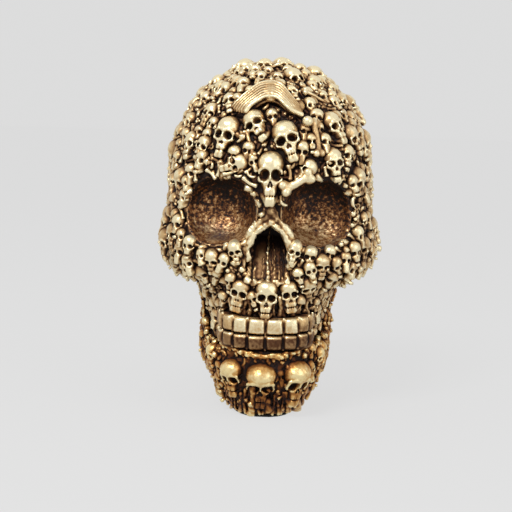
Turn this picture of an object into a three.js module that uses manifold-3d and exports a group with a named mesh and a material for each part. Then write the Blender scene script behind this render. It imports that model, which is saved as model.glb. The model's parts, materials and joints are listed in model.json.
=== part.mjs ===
// A gold resin skull whose skin is crowded with little skulls and bones: a hollow cast head with
// its jaw, teeth, rib cage, long bones and applied skulls, closed underneath by a plug and a felt.
import * as THREE from "three";
import { mergeVertices } from "three/addons/utils/BufferGeometryUtils.js";
import Module from "manifold-3d";

const wasm = await Module();
wasm.setup();

// Driving dimensions in millimetres. +Z is up, the face looks along -Y, +X is to the viewer's
// right, and the origin is in the underside of the felt, below the neck.
const headHeight = 165; // bare crown above the base
const headHalfWidth = 48.5; // bare temple to the middle plane
const faceReach = 50; // bare brow in front of the neck's axis
const backReach = 66; // bare back of the head behind it
const shellWall = 6;
const seatGap = 0.3; // glue line between a piece and its seat
const cutOverrun = 4;
const weldDistance = 0.0005; // points nearer than this are one point

const feltThickness = 1;
const baseLevel = feltThickness + seatGap;
const pourHoleRadius = 8;
const plugFlangeRadius = 11;
const plugFlangeThickness = 2;

const socketSpacing = 48; // middle of one eye to the middle of the other
const socketLevelShare = 0.58; // height of the eyes above the base, of headHeight
const socketLevel = baseLevel + socketLevelShare * headHeight;
const socketHalfWidth = 17.5;
const socketHalfHeight = 15.5;
const socketDepth = 20; // bottom of the bowl behind the brow line
const socketDroop = 8; // degrees, outer corner down
const socketPointCount = 16;
const hollowSocketPointCount = 10; // for the plainer bowls that the hollow keeps clear of

const noseLevelShare = 0.392; // its lowest edge above the base, of headHeight
const noseLevel = baseLevel + noseLevelShare * headHeight;
const noseHeight = 26;
const noseWidth = 21;
const noseDepth = 14; // at its top; its floor slopes out to the lip
const noseFlareShare = 0.6; // how high its sides start to close in
const noseSlopeShare = 0.75; // how high its floor goes on sloping
const septumWidth = 1.6;
const fluteCount = 5;
const ridgeSideCount = 6;
const fluteLengthShare = 0.7;
const fluteSplay = 9; // degrees, outermost ridge from upright
const nasalBoneRadius = 2.1;
const nasalBoneLength = 10;
const nasalBoneSpread = 42; // degrees from upright

const biteLevelShare = 0.237; // where the two rows of teeth meet, of headHeight
const biteLevel = baseLevel + biteLevelShare * headHeight;
const toothProud = 2; // face of the front teeth ahead of the brow line
const toothArchHalfWidth = 22;
const toothArchReach = faceReach + toothProud;
const toothArchDepth = 21;
const toothArchSquareness = 4;
const toothBow = 2; // the bite is this much lower in front than at the sides of the arch
const upperToothHeight = 7;
const toothThickness = 6;
const toothGap = 0.5;
const toothCorner = 1.2;
const biteGap = 0.8;
const gumHeight = 2.5;

const jawWall = 3.4; // at the sides of the neck
const jawReach = faceReach;
const jawHeightShare = 0.4; // top of the branches that rise beside the teeth, of headHeight
const jawHeight = jawHeightShare * headHeight;
const jawBack = 13; // rear edge of those branches behind the neck's axis

const braincaseLevelShare = 0.622; // centre that the crown and side skulls look out from
const braincaseLevel = baseLevel + braincaseLevelShare * headHeight;
const braincaseSetbackShare = 0.121; // of backReach
const braincaseSetback = braincaseSetbackShare * backReach;
const largestSkullWidth = 14; // the skull between the brows
const skullSinkShare = 0.08; // its middle lies this share of its width under the skin
const skullLeanShare = 0.45; // how far a skull on a slope looks level instead of straight out
const steepestShare = 0.2; // a skin flatter than this has its skulls look to the front
const braincasePointCount = 8;
const cheekPointCount = 6;
const cheekSquareness = 2.4;
const holePointCount = 24; // round the pour hole and its plug

const ribCageWidth = 32;
const ribCageHeight = 16;
const ribCageDepth = 6;
const ribRadius = 1.1;
const ribPairs = 4;
const ribDomePointCount = 10;

const longBoneRadius = 1.5;
const longBoneLength = 14;
const shaftSideCount = 6;
const knuckleShare = 1.35; // of the radius of the shaft
const knuckleSpreadShare = 0.9;

const castGold = { color: 0xb8913f, roughness: 0.42, metalness: 0.85 };
const paleGold = { color: 0xd9bf78, roughness: 0.35, metalness: 0.85 };
const darkResin = { color: 0x3a2a1c, roughness: 0.8, metalness: 0 };
const blackFelt = { color: 0x1c1b1a, roughness: 1, metalness: 0 };

// Level rings of the bare head, base to crown, as shares of headHeight, headHalfWidth, faceReach
// and backReach, with the squareness of the front half: 2 is round, more is flatter.
const headRingShares = [
  [0, 0.34, 0.4, 0.5, 2.2],
  [0.065, 0.4, 0.52, 0.53, 2.2],
  [0.138, 0.455, 0.64, 0.56, 2.2],
  [0.211, 0.495, 0.8, 0.6, 2.3],
  [0.272, 0.535, 0.9, 0.66, 2.4],
  [0.333, 0.59, 0.95, 0.74, 2.4],
  [0.38, 0.68, 0.97, 0.81, 2.5],
  [0.4, 0.815, 0.98, 0.84, 2.5],
  [0.418, 0.96, 0.98, 0.87, 2.6],
  [0.442, 1.02, 0.98, 0.9, 2.6],
  [0.48, 1.035, 0.98, 0.93, 2.6],
  [0.516, 1.02, 0.98, 0.95, 2.6],
  [0.558, 0.99, 0.99, 0.97, 2.6],
  [0.61, 0.963, 1, 0.99, 2.6],
  [0.66, 0.95, 1.01, 1, 2.5],
  [0.71, 0.945, 1, 1, 2.4],
  [0.766, 0.92, 0.96, 0.98, 2.3],
  [0.826, 0.85, 0.88, 0.93, 2.2],
  [0.881, 0.76, 0.76, 0.84, 2.1],
  [0.93, 0.61, 0.61, 0.7, 2],
  [0.967, 0.42, 0.43, 0.52, 2],
  [0.991, 0.22, 0.2, 0.28, 2],
];
const noseRingShare = headRingShares[7][2];
const neckWidthShare = headRingShares[5][1];
const jawHalfWidth = neckWidthShare * headHalfWidth + jawWall;
const ringPointCount = 26;
const hollowPointCount = 16;

// The jaw's level rings as shares of jawHeight, jawHalfWidth and jawReach.
const jawRingShares = [
  [0, 0.56, 0.84],
  [0.08, 0.65, 0.91],
  [0.18, 0.765, 0.96],
  [0.33, 0.895, 1],
  [0.48, 0.955, 1],
  [0.6, 0.975, 0.99],
  [0.75, 0.985, 0.98],
  [0.88, 1.047, 0.97],
  [1, 1.14, 0.97],
];
const jawSquareness = 2.5;
const jawMiddleShares = [0.2, 0.3];
// The jaw seen from the side, as shares of jawReach forwards and jawHeight upwards.
const jawSideShares = [
  [1.2, -0.02],
  [0.2, -0.02],
  [-0.12, 0.2],
  [-0.26, 0.38],
  [-0.26, 1],
  [0.2, 1],
  [0.3, 0.6],
  [0.46, 0.485],
  [1.2, 0.485],
];

// Widths of the teeth from the middle outwards, as shares of toothArchHalfWidth.
const upperToothShares = [0.38, 0.32, 0.28, 0.26, 0.26];
const lowerToothShares = [0.38, 0.31, 0.28, 0.26, 0.26];

// One little skull as shares of its own width, facing -Y, the middle of its braincase at zero.
const braincaseShares = new THREE.Vector3(0.5, 0.56, 0.47);
const cheekRingShares = [
  [-1.06, 0.25, 0.4, -0.05],
  [-0.56, 0.31, 0.46, 0.05],
  [-0.34, 0.47, 0.48, 0.1],
  [0.02, 0.36, 0.46, 0.1],
];
const eyeShares = { across: 0.21, forward: 0.48, down: 0.26, radius: 0.21 };
const longFaceShare = 1.2; // the biggest ones are this much longer in the face

// Applied skulls on the face: place as shares of headHalfWidth and headHeight, width as a share
// of largestSkullWidth, then roll, nod and turn in degrees.
const faceSkullShares = [
  ["brow_center_skull", 0, 0.725, 1, 0, 4, 0, longFaceShare],
  ["forehead_left_skull", -0.4, 0.82, 0.92, -7, 4, 6],
  ["forehead_middle_skull", -0.17, 0.845, 0.8, 36, 0, -14],
  ["forehead_right_skull", 0.12, 0.812, 0.96, 20, 4, -4],
  ["temple_right_inner_skull", 0.54, 0.845, 0.82, 14, 0, 0],
  ["brow_right_upper_skull", 0.57, 0.748, 0.76, 8, 4, -4],
  ["brow_right_inner_skull", 0.36, 0.72, 0.64, -46, 4, 20],
  ["brow_right_outer_skull", 0.82, 0.695, 0.76, 4, 10, 0],
  ["brow_left_inner_skull", -0.28, 0.728, 0.64, -70, 6, 16],
  ["brow_left_outer_skull", -0.835, 0.68, 0.74, -4, 14, 0],
  ["temple_left_inner_skull", -0.57, 0.868, 0.62, -10, 0, 12],
  ["cheek_left_middle_skull", -0.53, 0.462, 0.56, 0, 16, 0],
  ["cheek_left_inner_skull", -0.32, 0.49, 0.54, 12, 10, 0],
  ["cheek_right_inner_skull", 0.26, 0.495, 0.56, -16, 6, 0],
  ["cheek_right_middle_skull", 0.515, 0.458, 0.56, 0, 16, 0],
  ["lip_left_outer_skull", -0.39, 0.395, 0.48, -8, 0, 0],
  ["lip_left_skull", -0.24, 0.38, 0.62, -18, 0, 0],
  ["lip_middle_skull", 0, 0.376, 0.76, -2, 0, 0, longFaceShare],
  ["lip_right_skull", 0.2, 0.381, 0.6, 14, 0, 0],
  ["lip_right_outer_skull", 0.38, 0.395, 0.62, 12, 0, 0],
];
// Those on the jaw, as shares of jawHalfWidth and jawHeight.
const jawSkullShares = [
  ["chin_left_skull", -0.47, 0.34, 0.78, 0, 14, 0, longFaceShare],
  ["chin_middle_skull", -0.04, 0.315, 0.98, 0, 16, 0, longFaceShare],
  ["chin_right_skull", 0.47, 0.33, 0.96, 0, 14, 0, longFaceShare],
  ["jaw_left_skull", -0.76, 0.44, 0.54, 0, 10, 0],
  ["jaw_right_skull", 0.78, 0.44, 0.52, 0, 10, 0],
];
// Those on the crown, temples and cheekbones: azimuth from the face towards +X and elevation,
// in degrees, then width share, roll, nod and turn.
const domeSkullShares = [
  ["temple_right_outer_skull", 45, 31, 0.76, 18, 0, 0],
  ["temple_left_lower_skull", -43, 26, 0.68, 4, 4, 0],
  ["temple_left_outer_skull", -54, 37, 0.6, 0, 0, 0],
  ["crown_right_inner_skull", 17, 63, 0.7, 14, 10, 0],
  ["crown_right_outer_skull", 36, 60, 0.62, 20, 10, 0],
  ["crown_left_inner_skull", -28, 57, 0.6, -8, 10, 0],
  ["crown_left_outer_skull", -60, 61, 0.64, -18, 0, 0],
  ["crown_left_small_skull", -42, 68, 0.46, 0, 10, 0],
  ["crown_top_skull", -14, 74, 0.7, 0, 10, 0],
  ["limb_right_upper_skull", 56, 51, 0.6, 10, 0, 0],
  ["limb_right_lower_skull", 55, 41, 0.54, 10, 0, 0],
  ["limb_left_skull", -66, 46, 0.6, 0, 0, 0],
  ["cheek_left_upper_skull", -58, -10, 0.6, -6, 14, 0],
  ["cheek_left_outer_skull", -60, -21, 0.76, 0, 14, 0],
  ["cheek_left_side_skull", -75, -17, 0.66, 0, 10, 0],
  ["cheek_right_upper_skull", 51, -9, 0.5, 0, 10, 0],
  ["cheek_right_outer_skull", 50, -20, 0.62, 0, 14, 0],
  ["cheek_right_side_skull", 68, -14, 0.7, 0, 10, 0],
];
// The same crowd goes on over the rest of the head as part of the casting. Its places follow a
// spiral, and a skull stands wherever it has room, the largest ones first.
const crowdPlaceCount = 800;
const crowdStep = 180 * (3 - Math.sqrt(5)); // degrees round the head from one place to the next
// Width as a share of largestSkullWidth, and how near its neighbours may come: 1 just touches.
const crowdSizeShares = [
  [0.86, 1.2],
  [0.74, 1.02],
  [0.6, 0.94],
];
const crowdRoll = 23; // degrees, the most that one leans to either side
const crowdRimWidth = 1.5; // bare edge left round the eyes, the nose and the teeth
const crowdLowestShare = 0.07; // of headHeight
const crowdFacingShare = -0.4; // a skin that looks down more than this stays bare
// The room that a skull takes up, as balls: back, up and radius as shares of its width.
const skullRoomShares = [
  [0, 0, 0.5],
  [-0.12, -0.66, 0.38],
];
// One plain skull of the crowd: level rings as for the cheeks above, chin to crown.
const crowdRingShares = [
  [-1, 0.22, 0.4, -0.1],
  [-0.44, 0.31, 0.44, -0.05],
  [-0.2, 0.49, 0.54, 0],
  [0.24, 0.43, 0.52, 0],
];
const crowdTopShare = 0.47;
const crowdPointCount = 6;

// Long bones: place as shares of headHalfWidth and headHeight, length and radius as shares of
// longBoneLength and longBoneRadius, then the lean from upright in degrees.
const longBoneShares = [
  ["forehead_right_bone", 0.4, 0.795, 1, 1.1, 4],
  ["brow_right_bone", 0.24, 0.675, 0.86, 1.5, -62],
  ["forehead_left_bone", -0.2, 0.775, 0.78, 0.7, 20],
  ["crown_right_bone", 0.44, 0.9, 1.2, 0.7, 58],
];

// The path of a rib from the middle ridge outwards, as shares of ribCageWidth across, of
// ribCageDepth forwards and of ribCageHeight upwards; the last is added from first rib to last.
const ribCageShares = [-0.02, 0.905]; // its place on the forehead
const ribCageNod = -14; // degrees, tipped back with the crown
const ribDomeShares = [0.25, 0.36, 0.16]; // half width, half height and rise of its dome
const ribPathShares = [
  [0.02, 1.05, -0.12, 0.24],
  [0.18, 1.05, -0.26, 0.46],
  [0.34, 0.75, -0.52, 0.56],
  [0.46, 0.2, -0.8, 0.6],
];

// Turns a closed geometry into a solid that can be cut and joined.
function solidOf(geometry) {
  const bare = geometry.index ? geometry.clone() : geometry;
  bare.deleteAttribute("normal");
  bare.deleteAttribute("uv");
  const merged = mergeVertices(bare, weldDistance);
  const mesh = new wasm.Mesh({
    numProp: 3,
    vertProperties: merged.attributes.position.array,
    triVerts: new Uint32Array(merged.index.array),
  });
  mesh.merge();
  return new wasm.Manifold(mesh);
}

// Turns a solid in the part's frame into a named mesh that stands at its own place.
function meshOf(name, solid, finish, place = new THREE.Matrix4()) {
  const found = solid.getMesh();
  const positions = new Float32Array(found.numVert * 3);
  for (let i = 0; i < found.numVert; i++) {
    positions.set(found.vertProperties.subarray(i * found.numProp, i * found.numProp + 3), i * 3);
  }
  const geometry = new THREE.BufferGeometry();
  geometry.setAttribute("position", new THREE.BufferAttribute(positions, 3));
  geometry.setIndex(new THREE.BufferAttribute(found.triVerts, 1));
  geometry.applyMatrix4(place.clone().invert());
  geometry.computeVertexNormals();
  const mesh = new THREE.Mesh(geometry, new THREE.MeshStandardMaterial(finish));
  mesh.name = name;
  mesh.applyMatrix4(place);
  return mesh;
}

// The largest connected body of a solid: a deep cut can leave crumbs beside it.
function largestBody(solid) {
  return solid.decompose().reduce((kept, body) => (body.volume() > kept.volume() ? body : kept));
}

function moved(solid, x, y, z) {
  return solid.transform(new THREE.Matrix4().makeTranslation(x, y, z).elements);
}

// A closed skin through level rings { z, halfWidth, front, back, squareness }.
function loft(rings, points, top = null) {
  const positions = [];
  const index = [];
  const power = (value, exponent) => Math.sign(value) * Math.abs(value) ** exponent;
  for (const ring of rings) {
    for (let i = 0; i < points; i++) {
      const angle = (2 * Math.PI * i) / points;
      const ahead = Math.sin(angle) < 0;
      const bend = 2 / (ahead ? ring.squareness : 2);
      positions.push(
        ring.halfWidth * power(Math.cos(angle), bend),
        (ahead ? ring.front : ring.back) * power(Math.sin(angle), bend),
        ring.z,
      );
    }
  }
  for (let r = 0; r + 1 < rings.length; r++) {
    for (let i = 0; i < points; i++) {
      const a = r * points + i;
      const b = r * points + ((i + 1) % points);
      index.push(a, b, b + points, a, b + points, a + points);
    }
  }
  const first = rings[0];
  const last = rings.at(-1);
  const low = positions.length / 3;
  positions.push(0, (first.back - first.front) / 2, first.z);
  positions.push(0, (last.back - last.front) / 2, top ?? last.z);
  for (let i = 0; i < points; i++) {
    const next = (i + 1) % points;
    const lastRing = (rings.length - 1) * points;
    index.push(low, next, i, low + 1, lastRing + i, lastRing + next);
  }
  const geometry = new THREE.BufferGeometry();
  geometry.setAttribute("position", new THREE.Float32BufferAttribute(positions, 3));
  geometry.setIndex(index);
  return geometry;
}

// The bare head, larger all round by extra, or smaller where extra is negative.
function headForm(extra) {
  const rings = headRingShares.map(([height, width, front, back, squareness]) => ({
    z: baseLevel + height * headHeight,
    halfWidth: Math.max(width * headHalfWidth + extra, shellWall),
    front: Math.max(front * faceReach + extra, seatGap),
    back: Math.max(back * backReach + extra, shellWall),
    squareness,
  }));
  return solidOf(loft(rings, ringPointCount, baseLevel + headHeight + extra));
}

// One eye's bowl, grown by extra; side is -1 or 1.
function socketBowl(side, extra, points = socketPointCount) {
  const bowl = new THREE.SphereGeometry(1, points, points / 2);
  bowl.rotateX(Math.PI / 2);
  bowl.scale(socketHalfWidth + extra, socketDepth + extra, socketHalfHeight + extra);
  bowl.rotateY(THREE.MathUtils.degToRad(side * socketDroop));
  bowl.translate((side * socketSpacing) / 2, -faceReach, socketLevel);
  return solidOf(bowl);
}

const noseFloor = -faceReach * noseRingShare;

// The nose opening: a pear outline that runs deep at the top and slopes out to the lip.
function noseCut(extra) {
  const half = noseWidth / 2 + extra;
  const top = noseHeight + extra;
  const outline = new THREE.Shape();
  outline.moveTo(-half, -extra);
  outline.quadraticCurveTo(-half, top * noseFlareShare, -nasalBoneRadius, top);
  outline.lineTo(nasalBoneRadius, top);
  outline.quadraticCurveTo(half, top * noseFlareShare, half, -extra);
  outline.closePath();
  const reach = noseDepth + cutOverrun + extra;
  const front = new THREE.ExtrudeGeometry(outline, { depth: reach, bevelEnabled: false, curveSegments: 5 });
  front.rotateX(Math.PI / 2);
  front.translate(0, noseFloor + reach - cutOverrun, noseLevel);
  const side = new THREE.Shape();
  side.moveTo(-cutOverrun, -extra);
  side.lineTo(extra, -extra);
  side.lineTo(noseDepth + extra, noseHeight * noseSlopeShare);
  side.lineTo(noseDepth + extra, top);
  side.lineTo(-cutOverrun, top);
  side.closePath();
  const slab = new THREE.ExtrudeGeometry(side, { depth: 4 * half, bevelEnabled: false });
  slab.rotateX(Math.PI / 2);
  slab.rotateZ(Math.PI / 2);
  slab.translate(-2 * half, noseFloor, noseLevel);
  return solidOf(front).intersect(solidOf(slab));
}

// The ridges that run down the floor of the nose and the two bones that arch over it.
function noseRidges() {
  const slope = Math.atan(noseDepth / (noseHeight * noseSlopeShare));
  const length = noseHeight * fluteLengthShare;
  let ridges = null;
  for (let i = 0; i < fluteCount; i++) {
    const share = (2 * i) / (fluteCount - 1) - 1;
    const ridge = new THREE.CylinderGeometry(septumWidth / 2, septumWidth, length, ridgeSideCount);
    ridge.rotateX(Math.PI / 2);
    ridge.translate(0, 0, length / 2);
    ridge.rotateY(-share * THREE.MathUtils.degToRad(fluteSplay));
    ridge.translate(share * (noseWidth / 2 - septumWidth), 0, 0);
    ridge.rotateX(-slope);
    ridge.translate(0, noseFloor, noseLevel - septumWidth / 2);
    ridges = ridges ? ridges.add(solidOf(ridge)) : solidOf(ridge);
  }
  for (const side of [-1, 1]) {
    const bone = new THREE.CapsuleGeometry(nasalBoneRadius, nasalBoneLength, 2, 7);
    bone.rotateX(Math.PI / 2);
    bone.translate(0, 0, -nasalBoneLength / 2);
    bone.rotateY(-side * THREE.MathUtils.degToRad(nasalBoneSpread));
    bone.translate(0, noseFloor, noseLevel + noseHeight);
    ridges = ridges.add(solidOf(bone));
  }
  return ridges;
}

// One little skull of unit width; holes are left out of the body that others are cut with.
function littleSkull(withHoles) {
  const dome = new THREE.SphereGeometry(1, braincasePointCount, braincasePointCount / 2);
  dome.rotateX(Math.PI / 2);
  dome.scale(...braincaseShares.toArray());
  const rings = cheekRingShares.map(([z, halfWidth, front, back]) => ({
    z,
    halfWidth,
    front,
    back,
    squareness: cheekSquareness,
  }));
  let skull = solidOf(dome).add(solidOf(loft(rings, cheekPointCount)));
  if (!withHoles) return skull;
  for (const side of [-1, 1]) {
    const eye = new THREE.OctahedronGeometry(eyeShares.radius);
    eye.translate(side * eyeShares.across, -eyeShares.forward, -eyeShares.down);
    skull = skull.subtract(solidOf(eye));
  }
  return skull;
}

// A plainer one for the crowd.
function crowdSkull() {
  const rings = crowdRingShares.map(([z, halfWidth, front, back]) => ({
    z,
    halfWidth,
    front,
    back,
    squareness: cheekSquareness,
  }));
  return solidOf(loft(rings, crowdPointCount, crowdTopShare));
}

const skullPattern = littleSkull(true);
const skullBlank = littleSkull(false);
const crowdBlank = crowdSkull();
const bareHead = headForm(0);
const headKeepOut = headForm(seatGap);

// Finds where a ray meets a solid, with the facing of the skin there.
function seatFinder(solid) {
  const mesh = meshOf("", solid, {});
  mesh.updateMatrixWorld(true);
  const flat = mesh.geometry.toNonIndexed();
  flat.computeVertexNormals();
  mesh.geometry = flat;
  const caster = new THREE.Raycaster();
  return (from, way) => {
    caster.set(from, way.clone().normalize());
    const hit = caster.intersectObject(mesh)[0];
    return { point: hit.point, normal: hit.face.normal.clone() };
  };
}

// A frame on the skin: -Y looks outwards, a little more to the front than the skin does, and
// +Z is up; then it is rolled, nodded and turned by the given degrees.
function seatMatrix({ point, normal }, rise, roll = 0, nod = 0, turn = 0) {
  const level = new THREE.Vector3(normal.x, normal.y, 0);
  if (level.length() < steepestShare) level.set(0, -1, 0);
  const outwards = normal.clone().add(level.normalize().multiplyScalar(skullLeanShare)).normalize();
  const upright = new THREE.Vector3(0, 0, 1);
  const across = new THREE.Vector3().crossVectors(upright, outwards).normalize();
  const up = new THREE.Vector3().crossVectors(outwards, across);
  const place = new THREE.Matrix4().makeBasis(across, outwards.clone().negate(), up);
  const lean = new THREE.Euler(
    THREE.MathUtils.degToRad(nod),
    THREE.MathUtils.degToRad(-roll),
    THREE.MathUtils.degToRad(turn),
    "YZX",
  );
  place.multiply(new THREE.Matrix4().makeRotationFromEuler(lean));
  return place.setPosition(point.clone().addScaledVector(normal, rise));
}

function sized(place, size, length = 1) {
  return place.clone().scale(new THREE.Vector3(size, size, size * length));
}

const alongFace = new THREE.Vector3(0, 1, 0);
const onHead = seatFinder(bareHead);

function faceSeat(finder, x, z) {
  return finder(new THREE.Vector3(x, -2 * faceReach, z), alongFace);
}

function domeSeat(azimuth, elevation) {
  const a = THREE.MathUtils.degToRad(azimuth);
  const e = THREE.MathUtils.degToRad(elevation);
  const out = new THREE.Vector3(Math.sin(a) * Math.cos(e), -Math.cos(a) * Math.cos(e), Math.sin(e));
  const middle = new THREE.Vector3(0, braincaseSetback, braincaseLevel);
  return onHead(middle.addScaledVector(out, headHeight), out.negate());
}

// The jaw: a block lofted round the neck, cut to its side outline and hollowed for the neck.
function jawForm(extra) {
  const rings = jawRingShares.map(([height, width, front]) => ({
    z: baseLevel + height * jawHeight,
    halfWidth: width * jawHalfWidth + extra,
    front: front * jawReach + extra,
    back: jawBack + cutOverrun,
    squareness: jawSquareness,
  }));
  const middle = new THREE.Vector2(jawMiddleShares[0] * jawReach, jawMiddleShares[1] * jawHeight);
  const side = new THREE.Shape(
    jawSideShares.map(([ahead, up]) => {
      const corner = new THREE.Vector2(ahead * jawReach, up * jawHeight);
      const out = corner.clone().sub(middle);
      return corner.add(new THREE.Vector2(Math.sign(out.x) * extra, Math.sign(out.y) * extra));
    }),
  );
  const slab = new THREE.ExtrudeGeometry(side, { depth: 4 * jawHalfWidth, bevelEnabled: false });
  slab.rotateX(Math.PI / 2);
  slab.rotateZ(-Math.PI / 2);
  slab.translate(2 * jawHalfWidth, 0, baseLevel);
  return solidOf(loft(rings, ringPointCount, rings.at(-1).z + extra)).intersect(solidOf(slab));
}

// How far back the face of a tooth lies at a distance across from the middle.
function toothArch(across) {
  const share = Math.min(Math.abs(across) / toothArchHalfWidth, 1);
  const bend = (1 - share ** toothArchSquareness) ** (1 / toothArchSquareness);
  return toothArchDepth * (1 - bend) - toothArchReach;
}

// One tooth: a block with its corners taken off, its face in the plane of zero.
function toothSolid(width, height) {
  const x = width / 2;
  const z = height / 2;
  const outline = new THREE.Shape();
  outline.moveTo(toothCorner - x, -z);
  outline.lineTo(x - toothCorner, -z);
  outline.lineTo(x, toothCorner - z);
  outline.lineTo(x, z - toothCorner);
  outline.lineTo(x - toothCorner, z);
  outline.lineTo(toothCorner - x, z);
  outline.lineTo(-x, z - toothCorner);
  outline.lineTo(-x, toothCorner - z);
  outline.closePath();
  const tooth = new THREE.ExtrudeGeometry(outline, { depth: toothThickness, bevelEnabled: false });
  tooth.rotateX(Math.PI / 2);
  tooth.translate(0, toothThickness, 0);
  return tooth;
}

// A row of teeth between two levels, with the gum that holds them behind their roots.
function toothRow(widthShares, root, edge) {
  const gum = [root, root + Math.sign(edge - root) * gumHeight].sort((a, b) => a - b);
  const rings = gum.map((z) => ({
    z,
    halfWidth: toothArchHalfWidth - toothThickness / 3,
    front: toothArchReach - toothThickness / 3,
    back: toothThickness,
    squareness: 2,
  }));
  let row = solidOf(loft(rings, ringPointCount));
  for (const side of [-1, 1]) {
    let from = 0;
    for (const share of widthShares) {
      const width = share * toothArchHalfWidth;
      // Steps outwards until the chord of this tooth has its width.
      let to = from;
      while (to < toothArchHalfWidth && Math.hypot(to - from, toothArch(to) - toothArch(from)) < width) {
        to += toothGap / 4;
      }
      const tooth = toothSolid(width - toothGap, Math.abs(edge - root));
      tooth.rotateZ(side * Math.atan2(toothArch(to) - toothArch(from), to - from));
      tooth.translate(
        (side * (from + to)) / 2,
        (toothArch(from) + toothArch(to)) / 2,
        (edge + root) / 2 + toothBow * ((from + to) / 2 / toothArchHalfWidth) ** 2,
      );
      row = row.add(solidOf(tooth));
      from = to;
    }
  }
  return row;
}

// A small rib cage seen from below: ribs sweep out and down from one ridge in the middle, over
// a low dome that they hold together.
function ribCageSolid() {
  const dome = new THREE.SphereGeometry(1, ribDomePointCount, ribDomePointCount / 2);
  dome.scale(ribCageWidth * ribDomeShares[0], ribCageDepth, ribCageHeight * ribDomeShares[1]);
  dome.translate(0, 0, ribCageHeight * ribDomeShares[2]);
  let cage = solidOf(dome);
  for (const side of [-1, 1]) {
    for (let i = 0; i < ribPairs; i++) {
      const share = i / (ribPairs - 1);
      const path = ribPathShares.map(
        ([across, forward, up, spread]) =>
          new THREE.Vector3(
            side * across * ribCageWidth,
            -forward * ribCageDepth,
            (up + spread * share) * ribCageHeight,
          ),
      );
      const round = new THREE.Shape(
        [0, 1, 2, 3].map((k) => {
          const angle = (Math.PI * k) / 2;
          return new THREE.Vector2(ribRadius * Math.cos(angle), ribRadius * Math.sin(angle));
        }),
      );
      const curve = new THREE.CatmullRomCurve3(path);
      cage = cage.add(solidOf(new THREE.ExtrudeGeometry(round, { steps: 4, extrudePath: curve })));
    }
  }
  return cage;
}

// A long bone with two knuckles at each end, its shaft along Z.
function longBoneSolid(length, radius) {
  const shaft = new THREE.CylinderGeometry(radius, radius, length, shaftSideCount);
  shaft.rotateX(Math.PI / 2);
  let bone = solidOf(shaft);
  for (const end of [-1, 1]) {
    for (const side of [-1, 1]) {
      const knuckle = new THREE.SphereGeometry(radius * knuckleShare, shaftSideCount, 4);
      knuckle.translate(side * radius * knuckleSpreadShare, 0, (end * length) / 2);
      bone = bone.add(solidOf(knuckle));
    }
  }
  return bone;
}

// The stopper of the pour hole, with a flange that lies flush in the base.
function plugSolid() {
  const profile = [
    [0, 0],
    [plugFlangeRadius - seatGap, 0],
    [plugFlangeRadius - seatGap, plugFlangeThickness - seatGap],
    [pourHoleRadius - seatGap, plugFlangeThickness - seatGap],
    [pourHoleRadius - seatGap, shellWall],
    [0, shellWall],
  ].map(([x, y]) => new THREE.Vector2(x, y));
  const plug = new THREE.LatheGeometry(profile, holePointCount);
  plug.rotateX(Math.PI / 2);
  plug.translate(0, 0, baseLevel);
  return solidOf(plug);
}

function cylinderAt(radius, low, high) {
  const cylinder = new THREE.CylinderGeometry(radius, radius, high - low, holePointCount);
  cylinder.rotateX(Math.PI / 2);
  cylinder.translate(0, 0, (low + high) / 2);
  return solidOf(cylinder);
}

// The hollow of the casting: the head inset by its wall, kept clear of the eyes and the nose.
function hollowSolid() {
  const floor = baseLevel + shellWall;
  const rings = headRingShares.map(([height, width, front, back, squareness]) => ({
    z: floor + height * (headHeight - 2 * shellWall),
    halfWidth: Math.max(width * headHalfWidth - shellWall, seatGap),
    front: Math.max(front * faceReach - shellWall, seatGap),
    back: Math.max(back * backReach - shellWall, seatGap),
    squareness,
  }));
  let hollow = solidOf(loft(rings.filter((_, i) => i % 2 === 0), hollowPointCount));
  for (const side of [-1, 1]) hollow = hollow.subtract(socketBowl(side, shellWall, hollowSocketPointCount));
  hollow = hollow.subtract(noseCut(shellWall));
  return largestBody(hollow).add(cylinderAt(pourHoleRadius, baseLevel - cutOverrun, floor + shellWall));
}

// The felt that covers the head's and the jaw's undersides.
function feltSolid() {
  const ring = {
    halfWidth: headRingShares[0][1] * headHalfWidth,
    front: jawRingShares[0][2] * jawReach,
    back: headRingShares[0][3] * backReach,
    squareness: jawSquareness,
  };
  return solidOf(loft([{ ...ring, z: 0 }, { ...ring, z: feltThickness }], ringPointCount));
}

// Moves a hit on the skin to where the middle of a skull of this width belongs.
function skullPlace(seat, width, roll, nod, turn) {
  return seatMatrix(seat, -skullSinkShare * width, roll, nod, turn);
}

const skull = new THREE.Group();

// Each piece seated later is cut back from the keep-out shapes of those already there.
const keepOuts = [headKeepOut];
function cutBack(solid) {
  const box = solid.boundingBox();
  return keepOuts.reduce((left, other) => {
    const b = other.boundingBox();
    const apart = [0, 1, 2].some((k) => b.min[k] > box.max[k] || b.max[k] < box.min[k]);
    return apart ? left : left.subtract(other);
  }, solid);
}

const jaw = largestBody(jawForm(0).subtract(headKeepOut));
const onJaw = seatFinder(jaw);

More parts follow.
